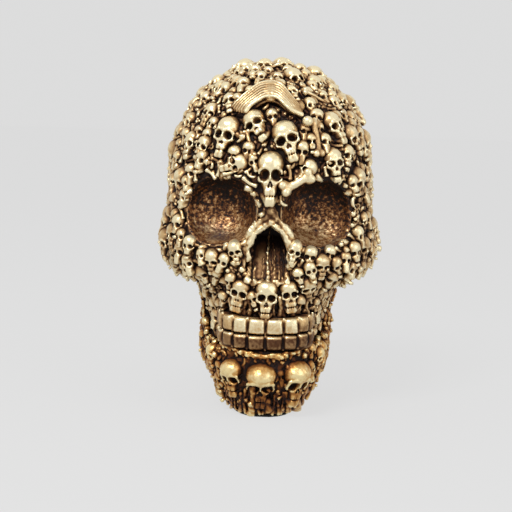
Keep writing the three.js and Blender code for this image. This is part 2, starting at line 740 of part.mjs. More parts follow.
// Every named skull with its seat, width share, roll, nod, turn and, for some, its length.
const namedSkulls = [
  ...faceSkullShares.map(([name, x, z, ...rest]) => [
    name,
    faceSeat(onHead, x * headHalfWidth, z * headHeight),
    ...rest,
  ]),
  ...jawSkullShares.map(([name, x, z, ...rest]) => [
    name,
    faceSeat(onJaw, x * jawHalfWidth, baseLevel + z * jawHeight),
    ...rest,
  ]),
  ...domeSkullShares.map(([name, azimuth, elevation, ...rest]) => [
    name,
    domeSeat(azimuth, elevation),
    ...rest,
  ]),
];
const cageSeat = faceSeat(onHead, ribCageShares[0] * headHalfWidth, ribCageShares[1] * headHeight);
const cagePlace = seatMatrix(cageSeat, 0, 0, ribCageNod, 0);
const longBones = longBoneShares.map(([name, x, z, lengthShare, radiusShare, lean]) => {
  const radius = radiusShare * longBoneRadius;
  const seat = faceSeat(onHead, x * headHalfWidth, z * headHeight);
  const place = seatMatrix(seat, radius + seatGap, lean);
  return { name, place, radius, length: lengthShare * longBoneLength };
});

// Balls in the part's frame that stand for the room of a piece: of a skull, or along a line of
// the given half length.
function skullRoom(place, width) {
  return skullRoomShares.map(([back, up, radius]) => ({
    middle: new THREE.Vector3(0, back, up).multiplyScalar(width).applyMatrix4(place),
    radius: radius * width,
  }));
}

function lineRoom(place, way, halfLength, radius) {
  return [-1, -0.5, 0, 0.5, 1].map((share) => ({
    middle: way.clone().multiplyScalar(share * halfLength).applyMatrix4(place),
    radius,
  }));
}

const upperRoot = biteLevel + biteGap / 2 + upperToothHeight;
const cheekLevel = baseLevel + headRingShares[8][0] * headHeight;

// Whether a ball would reach over the eyes, the nose or the teeth, or under the cheekbones.
function offLimits({ middle, radius }) {
  const reach = radius + crowdRimWidth;
  const across = Math.abs(middle.x);
  if (middle.z < baseLevel + crowdLowestShare * headHeight) return true;
  if (middle.y < jawBack + reach && middle.z < cheekLevel + radius) {
    return across > toothArchHalfWidth || middle.z < upperRoot + reach;
  }
  if (middle.y > 0) return false;
  const eye = Math.hypot(
    (across - socketSpacing / 2) / (socketHalfWidth + reach),
    (middle.z - socketLevel) / (socketHalfHeight + reach),
  );
  const level = middle.z - noseLevel;
  return eye < 1 || (across < noseWidth / 2 + reach && level > -reach && level < noseHeight + reach);
}

// Where the skulls of the crowd stand.
function crowdSkulls() {
  const taken = [
    ...namedSkulls.flatMap(([, seat, widthShare, roll, nod, turn]) => {
      const width = widthShare * largestSkullWidth;
      return skullRoom(skullPlace(seat, width, roll, nod, turn), width);
    }),
    ...lineRoom(cagePlace, new THREE.Vector3(1, 0, 0), (ribCageWidth - ribCageHeight) / 2, ribCageHeight / 2),
    ...longBones.flatMap(({ place, radius, length }) =>
      lineRoom(place, new THREE.Vector3(0, 0, 1), length / 2, 2 * radius),
    ),
  ];
  const seats = Array.from({ length: crowdPlaceCount }, (_, i) =>
    domeSeat(i * crowdStep, THREE.MathUtils.radToDeg(Math.asin(1 - (2 * i + 1) / crowdPlaceCount))),
  );
  const chosen = [];
  for (const [widthShare, roomShare] of crowdSizeShares) {
    const width = widthShare * largestSkullWidth;
    seats.forEach((seat, i) => {
      if (seat.normal.z < crowdFacingShare) return;
      const place = skullPlace(seat, width, crowdRoll * Math.sin(i), 0, 0);
      const room = skullRoom(place, width);
      const crowded = room.some((ball) =>
        taken.some(
          ({ middle, radius }) =>
            ball.middle.distanceTo(middle) < roomShare * (ball.radius + radius),
        ),
      );
      if (crowded || room.some(offLimits)) return;
      taken.push(...room);
      chosen.push({ place, width });
    });
  }
  return chosen;
}

// The casting with its crowd, then its eyes, nose and hollow.
let casting = bareHead;
for (const { place, width } of crowdSkulls()) {
  casting = casting.add(crowdBlank.transform(sized(place, width).elements));
  keepOuts.push(crowdBlank.transform(sized(place, width + 3 * seatGap).elements));
}
const bowls = socketBowl(-1, 0).add(socketBowl(1, 0));
casting = casting.subtract(bowls).subtract(noseCut(0)).add(noseRidges());
casting = casting.subtract(hollowSolid());
casting = casting.subtract(
  cylinderAt(plugFlangeRadius, baseLevel - cutOverrun, baseLevel + plugFlangeThickness),
);
skull.add(meshOf("skull_casting", largestBody(casting), castGold));

skull.add(meshOf("jaw", jaw, castGold));
keepOuts.push(jawForm(seatGap));

const lowerRoot = baseLevel + jawSideShares.at(-1)[1] * jawHeight + seatGap;
const upperTeeth = toothRow(upperToothShares, upperRoot, biteLevel + biteGap / 2);
const lowerTeeth = toothRow(lowerToothShares, lowerRoot, biteLevel - biteGap / 2);
skull.add(meshOf("upper_teeth", largestBody(cutBack(upperTeeth)), paleGold));
skull.add(meshOf("lower_teeth", largestBody(cutBack(lowerTeeth)), paleGold));
keepOuts.push(moved(upperTeeth, 0, -seatGap, seatGap), moved(upperTeeth, 0, -seatGap, -seatGap));
keepOuts.push(moved(lowerTeeth, 0, -seatGap, -seatGap), moved(lowerTeeth, 0, -seatGap, seatGap));
keepOuts.push(bowls, noseRidges());

// Adds one little skull, cut back from its neighbours.
function addSkull(name, seat, widthShare, roll, nod, turn, length = 1) {
  const width = widthShare * largestSkullWidth;
  const place = skullPlace(seat, width, roll, nod, turn);
  const solid = cutBack(skullPattern.transform(sized(place, width, length).elements));
  skull.add(meshOf(name, largestBody(solid), paleGold, place));
  keepOuts.push(skullBlank.transform(sized(place, width + 3 * seatGap, length).elements));
}

for (const named of namedSkulls) addSkull(...named);

const cage = cutBack(ribCageSolid().transform(cagePlace.elements));
skull.add(meshOf("rib_cage", largestBody(cage), paleGold, cagePlace));
keepOuts.push(ribCageSolid().transform(sized(cagePlace, 1 + seatGap / ribCageDepth).elements));

for (const { name, place, radius, length } of longBones) {
  const bone = longBoneSolid(length, radius).transform(place.elements);
  skull.add(meshOf(name, largestBody(cutBack(bone)), paleGold, place));
  keepOuts.push(longBoneSolid(length, radius + seatGap).transform(place.elements));
}

skull.add(meshOf("base_plug", plugSolid(), darkResin));
skull.add(meshOf("base_felt", feltSolid(), blackFelt));

export default skull;
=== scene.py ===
import itertools
import json
import math

import bpy
import numpy as np
import openvdb as vdb
from mathutils import Matrix, Vector
from mathutils.bvhtree import BVHTree

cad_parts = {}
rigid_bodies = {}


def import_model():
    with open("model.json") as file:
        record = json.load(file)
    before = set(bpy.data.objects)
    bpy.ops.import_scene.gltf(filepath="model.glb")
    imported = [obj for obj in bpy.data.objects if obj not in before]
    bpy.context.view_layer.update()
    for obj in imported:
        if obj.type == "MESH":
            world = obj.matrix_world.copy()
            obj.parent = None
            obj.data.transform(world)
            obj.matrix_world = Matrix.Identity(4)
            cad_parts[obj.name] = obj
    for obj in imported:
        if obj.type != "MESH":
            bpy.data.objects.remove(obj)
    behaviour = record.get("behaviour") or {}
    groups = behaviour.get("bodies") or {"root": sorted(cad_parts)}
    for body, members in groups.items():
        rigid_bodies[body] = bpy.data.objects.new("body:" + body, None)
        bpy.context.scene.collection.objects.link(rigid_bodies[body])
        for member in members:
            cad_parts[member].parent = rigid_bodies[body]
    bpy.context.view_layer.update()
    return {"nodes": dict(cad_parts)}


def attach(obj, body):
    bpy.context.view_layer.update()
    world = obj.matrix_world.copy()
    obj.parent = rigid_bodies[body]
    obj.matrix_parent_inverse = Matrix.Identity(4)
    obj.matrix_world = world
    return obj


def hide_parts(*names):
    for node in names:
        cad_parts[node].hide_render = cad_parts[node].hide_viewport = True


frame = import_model()
millimetre = 0.001

# Everything below is in millimetres until a mesh is made: +Z up, the face looks along -Y.
head = {
    "height": 165, "halfWidth": 48.5, "faceReach": 50, "backReach": 66, "baseLevel": 1.3,
    "ringPoints": 26,
    # share of the height, half width, front and back, then how square the front is
    "rings": (
        (0, 0.34, 0.4, 0.5, 2.2), (0.065, 0.4, 0.52, 0.53, 2.2), (0.138, 0.455, 0.64, 0.56, 2.2),
        (0.211, 0.495, 0.8, 0.6, 2.3), (0.272, 0.535, 0.9, 0.66, 2.4), (0.333, 0.59, 0.95, 0.74, 2.4),
        (0.38, 0.68, 0.97, 0.81, 2.5), (0.4, 0.815, 0.98, 0.84, 2.5), (0.418, 0.96, 0.98, 0.87, 2.6),
        (0.442, 1.02, 0.98, 0.9, 2.6), (0.48, 1.035, 0.98, 0.93, 2.6), (0.516, 1.02, 0.98, 0.95, 2.6),
        (0.558, 0.99, 0.99, 0.97, 2.6), (0.61, 0.963, 1, 0.99, 2.6), (0.66, 0.95, 1.01, 1, 2.5),
        (0.71, 0.945, 1, 1, 2.4), (0.766, 0.92, 0.96, 0.98, 2.3), (0.826, 0.85, 0.88, 0.93, 2.2),
        (0.881, 0.76, 0.76, 0.84, 2.1), (0.93, 0.61, 0.61, 0.7, 2), (0.967, 0.42, 0.43, 0.52, 2),
        (0.991, 0.22, 0.2, 0.28, 2),
    ),
}
socket = {"spacing": 48, "level": 97, "halfWidth": 17.5, "halfHeight": 15.5, "depth": 20, "droop": 8,
          "squareness": 2.4}
nose = {"level": 65.98, "height": 26, "width": 21, "depth": 14, "floor": -49, "slopeShare": 0.75}
jaw = {
    "halfWidth": 32.015, "reach": 50, "height": 66, "back": 13, "squareness": 2.5,
    "rings": (
        (0, 0.56, 0.84), (0.08, 0.65, 0.91), (0.18, 0.765, 0.96), (0.33, 0.895, 1), (0.48, 0.955, 1),
        (0.6, 0.975, 0.99), (0.75, 0.985, 0.98), (0.88, 1.047, 0.97), (1, 1.14, 0.97),
    ),
    "side": (
        (1.2, -0.02), (0.2, -0.02), (-0.12, 0.2), (-0.26, 0.38), (-0.26, 1), (0.2, 1),
        (0.3, 0.6), (0.46, 0.485), (1.2, 0.485),
    ),
}
teeth = {
    "bite": 40.405, "halfWidth": 22, "reach": 52, "depth": 21, "squareness": 4, "bow": 2,
    "upperHeight": 7, "lowerRoot": 33.61, "thickness": 6, "gap": 0.5, "biteGap": 0.8, "rounding": 1.1,
    "voxel": 0.38, "gumStep": 0.98,
    "upperShares": (0.38, 0.32, 0.28, 0.26, 0.26), "lowerShares": (0.38, 0.31, 0.28, 0.26, 0.26),
}
seat = {"largest": 14, "sink": 0.08, "lean": 0.45, "steepest": 0.2}
brain = {"level": 103.93, "setback": 7.99}

# name of the skull, place as shares of half width and height, width share, roll, nod and turn in degrees,
# then how its face differs: how wide the dome is, how long the face, how big the eyes, how far the jaw
# drops, how wide it is, how far the face lies back under the dome and how much painted shade darkens it
faceSkulls = (
    ("brow_center", 0, 0.725, 1, 0, 4, 0, {"wide": 0.88, "long": 1.34, "eye": 1.12, "dark": 0.3}),
    ("forehead_left", -0.4, 0.82, 0.92, -7, 4, 6, {"wide": 0.86, "long": 1.1}),
    ("forehead_middle", -0.17, 0.845, 0.8, 36, 0, -14, {"wide": 0.95, "drop": 0.1, "eye": 1.1}),
    ("forehead_right", 0.12, 0.812, 0.96, 20, 4, -4, {"wide": 0.93, "long": 1.05, "eye": 1.08}),
    ("temple_right_inner", 0.54, 0.845, 0.82, 14, 0, 0, {"wide": 0.84}),
    ("brow_right_upper", 0.57, 0.748, 0.76, 8, 4, -4, {"drop": 0.04}),
    ("brow_right_inner", 0.36, 0.72, 0.64, -46, 4, 20, {}),
    ("brow_right_outer", 0.82, 0.695, 0.76, 4, 10, 0, {"drop": 0.05}),
    ("brow_left_inner", -0.28, 0.728, 0.64, -70, 6, 16, {}),
    ("brow_left_outer", -0.835, 0.68, 0.74, -4, 14, 0, {}),
    ("temple_left_inner", -0.57, 0.868, 0.62, -10, 0, 12, {"wide": 0.86}),
    ("cheek_left_middle", -0.53, 0.462, 0.56, 0, 16, 0, {"wide": 1}),
    ("cheek_left_inner", -0.32, 0.49, 0.54, 12, 10, 0, {}),
    ("cheek_right_inner", 0.26, 0.495, 0.56, -16, 6, 0, {"wide": 0.86}),
    ("cheek_right_middle", 0.515, 0.458, 0.56, 0, 16, 0, {"wide": 1.1}),
    ("lip_left_outer", -0.39, 0.395, 0.48, -8, 0, 0, {"wide": 0.95, "back": 0.25, "dark": 0.4}),
    ("lip_left", -0.24, 0.38, 0.62, -12, 0, 0,
     {"wide": 1.06, "long": 1.38, "jaw": 1.5, "tall": 0.92}),
    ("lip_middle", 0, 0.376, 0.76, -2, 0, 0, {"wide": 1, "long": 1.3, "jaw": 1.12, "tall": 0.9}),
    ("lip_right", 0.2, 0.381, 0.6, 8, 0, 0,
     {"wide": 1.04, "long": 1.38, "jaw": 1.5, "tall": 0.92}),
    ("lip_right_outer", 0.38, 0.395, 0.62, 12, 0, 0, {"wide": 1, "dark": 0.3}),
)
chinFace = {"long": 1.2, "back": 0.14, "dark": 0.5, "rim": 1.5, "brow": 0.9, "eyeDown": 0.36, "eye": 1.1}
jawSkulls = (
    ("chin_left", -0.47, 0.34, 0.78, 0, 14, 0, {**chinFace, "wide": 1.04}),
    ("chin_middle", -0.04, 0.315, 0.98, 0, 16, 0, {**chinFace, "wide": 1.04, "tall": 0.92}),
    ("chin_right", 0.47, 0.33, 0.96, 0, 14, 0, {**chinFace, "wide": 1.04, "tall": 0.96}),
    ("jaw_left", -0.76, 0.44, 0.54, 0, 10, 0, {"dark": 0.3}),
    ("jaw_right", 0.78, 0.44, 0.52, 0, 10, 0, {"dark": 0.3}),
)
# the rest: azimuth from the face towards +X, elevation, width share, roll, nod, turn
domeSkulls = (
    ("temple_right_outer", 45, 31, 0.76, 18, 0, 0, {"wide": 0.86}),
    ("temple_left_lower", -43, 26, 0.68, 4, 4, 0, {}),
    ("temple_left_outer", -54, 37, 0.6, 0, 0, 0, {}),
    ("crown_right_inner", 17, 63, 0.7, 14, 10, 0, {"long": 1.1}),
    ("crown_right_outer", 36, 60, 0.62, 20, 10, 0, {}),
    ("crown_left_inner", -28, 57, 0.6, -8, 10, 0, {}),
    ("crown_left_outer", -60, 61, 0.64, -18, 0, 0, {}),
    ("crown_left_small", -42, 68, 0.46, 0, 10, 0, {}),
    ("crown_top", -14, 74, 0.7, 0, 10, 0, {}),
    ("limb_right_upper", 56, 51, 0.6, 10, 0, 0, {}),
    ("limb_right_lower", 55, 41, 0.54, 10, 0, 0, {}),
    ("limb_left", -66, 46, 0.6, 0, 0, 0, {}),
    ("cheek_left_upper", -58, -10, 0.6, -6, 14, 0, {"wide": 1}),
    ("cheek_left_outer", -60, -21, 0.76, 0, 14, 0, {"wide": 1, "dark": 0.2}),
    ("cheek_left_side", -75, -17, 0.66, 0, 10, 0, {}),
    ("cheek_right_upper", 51, -9, 0.5, 0, 10, 0, {}),
    ("cheek_right_outer", 50, -20, 0.62, 0, 14, 0, {"wide": 1}),
    ("cheek_right_side", 68, -14, 0.7, 0, 10, 0, {}),
)


# Shapes as distances: negative inside, positive outside, blended like clay.
def blendMin(a, b, soft):
    share = np.clip(0.5 + 0.5 * (b - a) / soft, 0, 1)
    return b * (1 - share) + a * share - soft * share * (1 - share)


def blendMax(a, b, soft):
    return -blendMin(-a, -b, soft)


def ellipsoid(at, middle, radii):
    d = [(p - m) / r for p, m, r in zip(at, middle, radii)]
    near = np.sqrt(sum(v * v for v in d))
    steep = np.sqrt(sum((v / r) ** 2 for v, r in zip(d, radii)))
    return near * (near - 1) / np.maximum(steep, 1e-6)


def capsule(at, a, b, startRadius, endRadius=None):
    endRadius = startRadius if endRadius is None else endRadius
    along = [q - p for p, q in zip(a, b)]
    t = sum((p - s) * v for p, s, v in zip(at, a, along)) / sum(v * v for v in along)
    t = np.clip(t, 0, 1)
    far = np.sqrt(sum((p - s - t * v) ** 2 for p, s, v in zip(at, a, along)))
    return far - (startRadius + (endRadius - startRadius) * t)


def block(at, middle, half, rounding):
    q = [np.abs(p - m) - (h - rounding) for p, m, h in zip(at, middle, half)]
    out = np.sqrt(sum(np.maximum(v, 0) ** 2 for v in q))
    return out + np.minimum(np.maximum(np.maximum(q[0], q[1]), q[2]), 0) - rounding


def sumOfCorners(values, base, part, kind):
    # the value between the eight corners of a lattice round each spot
    total = np.zeros(base[0].shape, kind)
    for corner in itertools.product((0, 1), repeat=3):
        near = [p if c else 1 - p for p, c in zip(part, corner)]
        spot = tuple((b + c) % n for b, c, n in zip(base, corner, values.shape))
        total += near[0] * near[1] * near[2] * values[spot]
    return total


def lumps(at, size, seed):
    # smooth random waves from -1 to 1, one bump about every two sizes
    lattice = np.random.default_rng(seed).uniform(-1, 1, (32, 32, 32)).astype(np.float32)
    cells = [p / size + 101.37 for p in at]
    base = [np.floor(c).astype(np.int32) for c in cells]
    part = [c - b for c, b in zip(cells, base)]
    return sumOfCorners(lattice, base, [v * v * (3 - 2 * v) for v in part], np.float64)


def shaken(points, amount, size, seed):
    # the same waves on all three ways, for a hand-made surface
    return points + amount * np.stack([lumps(points.T, size, seed + k) for k in range(3)], 1)


class Clay:
    # distances on a grid of voxels, into which shapes are pressed
    def __init__(self, field, start, voxel):
        self.field, self.start, self.voxel = field, start, voxel

    def within(self, low, high):
        # the part inside a box, and where its voxels are
        ends = [(max(int((l - s) / self.voxel), 0), min(int((h - s) / self.voxel) + 1, n))
                for l, h, s, n in zip(low, high, self.start, self.field.shape)]
        axes = [(np.arange(a, b) * self.voxel + s).astype(np.float32) for (a, b), s in zip(ends, self.start)]
        return tuple(slice(a, b) for a, b in ends), np.meshgrid(*axes, indexing="ij")

    def whole(self):
        return self.within((-99, -99, -99), (99, 99, 99))

    def press(self, cut, shape, soft):
        self.field[cut] = blendMin(self.field[cut], shape, soft)

    def carve(self, cut, shape, soft):
        self.field[cut] = blendMax(self.field[cut], -shape, soft)

    def link(self, a, b, startRadius, endRadius, soft):
        # a round link between two spots
        reach = max(startRadius, endRadius) + 2 * soft + 2 * self.voxel
        low = [min(p, q) - reach for p, q in zip(a, b)]
        high = [max(p, q) + reach for p, q in zip(a, b)]
        cut, at = self.within(low, high)
        if self.field[cut].size:
            self.press(cut, capsule(at, a, b, startRadius, endRadius), soft)

    def strand(self, line, radii, soft, steps=0):
        # links along a line, smoothed first by so many steps, with radii spread evenly over it
        line = throughCorners(line, steps) if steps else np.array(line)
        radii = np.interp(np.linspace(0, 1, len(line)), np.linspace(0, 1, len(radii)), radii)
        for a, b, startRadius, endRadius in zip(line[:-1], line[1:], radii[:-1], radii[1:]):
            self.link(a, b, startRadius, endRadius, soft)

    def skin(self):
        # corners and faces of the surface where the distance is zero
        grid = vdb.FloatGrid(float(self.field.max()))
        grid.copyFromArray(np.ascontiguousarray(self.field, np.float32))
        points, threes, fours = grid.convertToPolygons(isovalue=0.0, adaptivity=0.0)
        return points * self.voxel + self.start, (fours.astype(np.int64), threes.astype(np.int64))

    def at(self, points):
        # the distance at any points, between the voxels
        cells = (np.asarray(points, np.float32) - self.start) / self.voxel
        base = np.clip(np.floor(cells).astype(np.int32), 0, np.array(self.field.shape) - 2)
        return sumOfCorners(self.field, base.T, np.clip(cells - base, 0, 1).T, np.float32)


def emptyClay(low, high, voxel):
    start = np.floor(np.array(low) / voxel) * voxel
    count = np.ceil((np.array(high) - start) / voxel).astype(int) + 2
    return Clay(np.full(count, 4.0, np.float32), start.astype(np.float32), voxel)


def clayOf(points, threes, voxel, reach):
    # the distance to a closed surface
    grid = vdb.FloatGrid.createLevelSetFromPolygons(
        points.astype(np.float32), triangles=threes.astype(np.uint32),
        transform=vdb.createLinearTransform(voxelSize=voxel), halfWidth=reach / voxel)
    low, high = grid.evalActiveVoxelBoundingBox()
    field = np.empty([h - l + 1 for l, h in zip(low, high)], np.float32)
    grid.copyToArray(field, ijk=low)
    return Clay(field, np.array(low, np.float32) * voxel, voxel)


def throughCorners(corners, count):
    # a smooth line through a few corners, which may have any number of coordinates
    corners = np.array(corners, float)
    line = []
    for i in range(len(corners) - 1):
        p0, p1, p2 = corners[max(i - 1, 0)], corners[i], corners[i + 1]
        p3 = corners[min(i + 2, len(corners) - 1)]
        for k in range(count):
            t = k / count
            line.append(0.5 * (2 * p1 + (p2 - p0) * t + (2 * p0 - 5 * p1 + 4 * p2 - p3) * t ** 2
                               + (3 * p1 - p0 - 3 * p2 + p3) * t ** 3))
    line.append(corners[-1])
    return np.array(line)


def turned(points, matrix):
    m = np.array(matrix, np.float64)
    return points @ m[:3, :3].T + m[:3, 3]


# Node trees, for the paints and for the crowds.
def setInput(tree, plug, value):
    # an input takes a socket or a plain value
    if isinstance(value, bpy.types.NodeSocket):
        tree.links.new(value, plug)
    else:
        plug.default_value = value


def addNode(tree, kind, inputs=None, **settings):
    # an input goes by its identifier, its name or its number
    node = tree.nodes.new(kind)
    for key, value in settings.items():
        setattr(node, key, value)
    byIdentifier = {plug.identifier: plug for plug in node.inputs}
    for key, value in (inputs or {}).items():
        setInput(tree, byIdentifier[key] if key in byIdentifier else node.inputs[key], value)
    return node


def worked(tree, operation, a, b):
    return addNode(tree, "ShaderNodeMath", {0: a, 1: b}, operation=operation).outputs[0]


def added(tree, total, value, middle, gain):
    # a total plus how far a value is from its middle, times a gain
    return worked(tree, "ADD", total, worked(tree, "MULTIPLY", worked(tree, "SUBTRACT", value, middle), gain))


def spread(tree, value, low, high, toLow, toHigh):
    ends = {"Value": value, "From Min": low, "From Max": high, "To Min": toLow, "To Max": toHigh}
    return addNode(tree, "ShaderNodeMapRange", ends).outputs[0]


def attributeOf(tree, label):
    return addNode(tree, "ShaderNodeAttribute", attribute_name=label).outputs["Fac"]


def noiseOf(tree, scale, detail, stretch=(1, 1, 1)):
    place = addNode(tree, "ShaderNodeTexCoord").outputs["Object"]
    place = addNode(tree, "ShaderNodeMapping", {"Vector": place, "Scale": stretch}).outputs[0]
    given = {"Vector": place, "Scale": scale, "Detail": detail}
    return addNode(tree, "ShaderNodeTexNoise", given).outputs["Fac"]


def tone(red, green, blue):
    # a colour as a screen shows it, from 0 to 255, as the shader wants it
    return tuple(((c / 255 + 0.055) / 1.055) ** 2.4 for c in (red, green, blue)) + (1,)


def rampOf(tree, value, stops):
    ramp = addNode(tree, "ShaderNodeValToRGB", {"Fac": value})
    ramp.color_ramp.interpolation = "EASE"
    while len(ramp.color_ramp.elements) < len(stops):
        ramp.color_ramp.elements.new(0.5)
    for element, (position, color) in zip(ramp.color_ramp.elements, stops):
        element.position = position
        element.color = color
    return ramp.outputs["Color"]


def newPaint(name):
    material = bpy.data.materials.new(name)
    material.use_nodes = True
    return material, material.node_tree, material.node_tree.nodes["Principled BSDF"]


def wired(tree, shader, inputs, strength, depth, grains):
    # gives a paint its inputs and its grain
    for label, value in inputs.items():
        setInput(tree, shader.inputs[label], value)
    height = 0.0
    for scale, amount in grains:
        height = added(tree, height, noiseOf(tree, scale, 3), 0, amount)
    bump = addNode(tree, "ShaderNodeBump", {"Height": height, "Strength": strength, "Distance": depth})
    tree.links.new(bump.outputs[0], shader.inputs["Normal"])


print("paints")
gold = {
    "tones": (
        (0.08, tone(26, 10, 4)), (0.3, tone(88, 54, 30)), (0.5, tone(154, 118, 80)),
        (0.72, tone(216, 181, 129)), (0.97, tone(252, 236, 194)),
    ),
    # how much the place among its neighbours, partly real dark wash and partly painted shade,
    # patches, specks and the painted shade on faces and in hollows tell
    "nearGain": 1.7, "wideGain": 2.0, "patchGain": 0.3, "speckGain": 0.22, "shadeGain": 0.6, "lift": 0.47,
    "metal": 0.72, "rough": (0.62, 0.33), "sheen": 0.2,
    # painted light: lighter on the front of the face, darker on its sides and cheeks, lighter on the
    # forehead, as light from the front and above falls: how far out and how high up each change starts
    # and ends, in metres, and what it takes away
    "sides": (0.014, 0.048, -0.04, 0.19), "paintedLightByHeight": (0.07, 0.125, 0.02, -0.05),
    "patchScale": 110, "speckScale": 900,
    # strength and depth of the grain, in metres, then scale and share of each noise in it
    "grain": (0.35, 0.00025, ((1500, 1.0), (420, 0.8))),
}


def goldPaint(name, changes):
    # dark wash in the hollows, gold rubbed on what stands out; the dark between neighbours is partly
    # painted shade, and the palest tone on the highest spots partly a painted highlight
    how = {**gold, **changes}
    material, tree, shader = newPaint(name)
    speck = noiseOf(tree, how["speckScale"], 4)
    height = how["lift"]
    for value, middle, gain in (
            (attributeOf(tree, "near"), 0.5, -how["nearGain"]),
            (attributeOf(tree, "wide"), 0.5, -how["wideGain"]),
            (noiseOf(tree, how["patchScale"], 3), 0.5, how["patchGain"]), (speck, 0.5, how["speckGain"]),
            (attributeOf(tree, "shade"), 0, -how["shadeGain"])):
        height = added(tree, height, value, middle, gain)
    place = addNode(tree, "ShaderNodeTexCoord").outputs["Object"]
    axes = addNode(tree, "ShaderNodeSeparateXYZ", {0: place}).outputs
    across = addNode(tree, "ShaderNodeMath", {0: axes["X"]}, operation="ABSOLUTE").outputs[0]
    # painted light: darker towards the sides, lighter high up
    for value, ends in ((across, how["sides"]), (axes["Z"], how["paintedLightByHeight"])):
        height = worked(tree, "SUBTRACT", height, spread(tree, value, *ends))
    dull = added(tree, height, speck, 0.5, 0.5)
    wired(tree, shader, {
        "Specular IOR Level": how["sheen"],
        "Base Color": rampOf(tree, height, how["tones"]),
        "Metallic": spread(tree, height, 0.2, 0.55, 0.0, how["metal"]),
        "Roughness": spread(tree, dull, 0.2, 0.8, *how["rough"]),
    }, *how["grain"])
    return material


eyeHollow = {
    "tones": ((0.1, tone(14, 8, 6)), (0.3, tone(50, 26, 15)), (0.48, tone(112, 68, 38)),
              (0.66, tone(172, 126, 80)), (0.95, tone(228, 194, 146))),
    # painted light and shade from the lit bottom of the hollow to its shadowed top, then scale, detail and
    # gain of each grain
    "paintedShadeFall": (-0.95, 0.75, 0.78, 0.14), "grains": ((560, 6, 1.9), (1300, 4, 1.0), (110, 3, 0.8)),
    "coolTone": tone(92, 84, 88), "coolScale": 60, "coolShare": 0.6, "coolFall": (-0.35, -0.8, 0.0, 1.0),
    "metal": 0.7, "rough": (0.6, 0.38), "sheen": 0.3, "grain": (0.6, 0.0004, ((1100, 1.0), (420, 1.4))),
}


def hollowPaint(how):
    # the eye hollows with painted shade: black at the shadowed top, speckled copper brown, and worn gold at
    # the lit bottom
    material, tree, shader = newPaint("eyeHollow")
    shade = attributeOf(tree, "shade")
    height = spread(tree, shade, *how["paintedShadeFall"])
    for scale, detail, gain in how["grains"]:
        height = added(tree, height, noiseOf(tree, scale, detail), 0.5, gain)
    cool = spread(tree, noiseOf(tree, how["coolScale"], 2), 0.5, 0.62, 0.0, how["coolShare"])
    cool = worked(tree, "MULTIPLY", cool, spread(tree, shade, *how["coolFall"]))
    mixed = addNode(tree, "ShaderNodeMix", {
        "Factor_Float": cool, "A_Color": rampOf(tree, height, how["tones"]), "B_Color": how["coolTone"],
    }, data_type="RGBA")
    wired(tree, shader, {
        "Specular IOR Level": how["sheen"],
        "Base Color": next(s for s in mixed.outputs if s.enabled),
        "Metallic": spread(tree, height, 0.3, 0.6, 0.0, how["metal"]),
        "Roughness": spread(tree, height, 0.2, 0.8, *how["rough"]),
    }, *how["grain"])
    return material


# for each plain paint: name, scale and detail of its clouds, two tones, roughness where it isn't wholly
# dull, strength and depth of its grain, and the grains
felt = ("blackFelt", 1400, 6, (16, 15, 15), (44, 42, 42), (), 0.8, 0.0004, ((2600, 1.0), (900, 0.6)))
resin = ("darkResin", 260, 4, (44, 31, 20), (78, 56, 36), (0.55, 0.75), 0.4, 0.0003,
         ((700, 1.0), (160, 1.0)))


def plainPaint(name, scale, detail, dark, light, rough, *grain):
    material, tree, shader = newPaint(name)
    cloud = noiseOf(tree, scale, detail)
    color = rampOf(tree, cloud, ((0.3, tone(*dark)), (0.7, tone(*light))))
    dull = spread(tree, cloud, 0.3, 0.7, *rough) if rough else 1.0
    wired(tree, shader, {"Base Color": color, "Roughness": dull}, *grain)
    return material


jawTones = ((0.08, tone(26, 9, 3)), (0.3, tone(88, 46, 19)), (0.53, tone(158, 102, 50)),
            (0.78, tone(218, 170, 102)), (1.0, tone(252, 230, 172)))
paints = {
    "cast": goldPaint("castGold", {}),
    "relief": goldPaint("reliefGold", {"lift": 0.5}),
    "rubble": goldPaint("rubbleGold", {"lift": 0.42, "speckGain": 0.34, "nearGain": 1.9}),
    "jaw": goldPaint("jawGold", {"tones": jawTones, "lift": 0.38}),
    "chin": goldPaint("chinGold", {"tones": jawTones, "lift": 0.44}),
    "tooth": goldPaint("toothGold", {"lift": 0.47, "patchGain": 0.5, "speckGain": 0.3}),
    "hollow": hollowPaint(eyeHollow),
}
for node, paint in (("base_felt", felt), ("base_plug", resin)):
    frame["nodes"][node].data.materials.clear()
    frame["nodes"][node].data.materials.append(plainPaint(*paint))

pieces = []


def newObject(name, data):
    thing = bpy.data.objects.new(name, data)
    bpy.context.scene.collection.objects.link(thing)
    return thing


def setAttribute(mesh, label, kind, values):
    layer = mesh.attributes.new(label, kind, "POINT")
    layer.data.foreach_set("vector" if kind == "FLOAT_VECTOR" else "value", values.ravel())


def finished(name, mesh, slot, *nodes):
    # a piece of the cast body that stands for some of the solids
    mesh.polygons.foreach_set("use_smooth", [True] * len(mesh.polygons))
    piece = newObject(name, mesh)
    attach(piece, "root")
    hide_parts(*nodes)
    pieces.append(piece)
    mesh.calc_loop_triangles()
    print(f"  {name}: {len(mesh.loop_triangles)} triangles")
    return piece


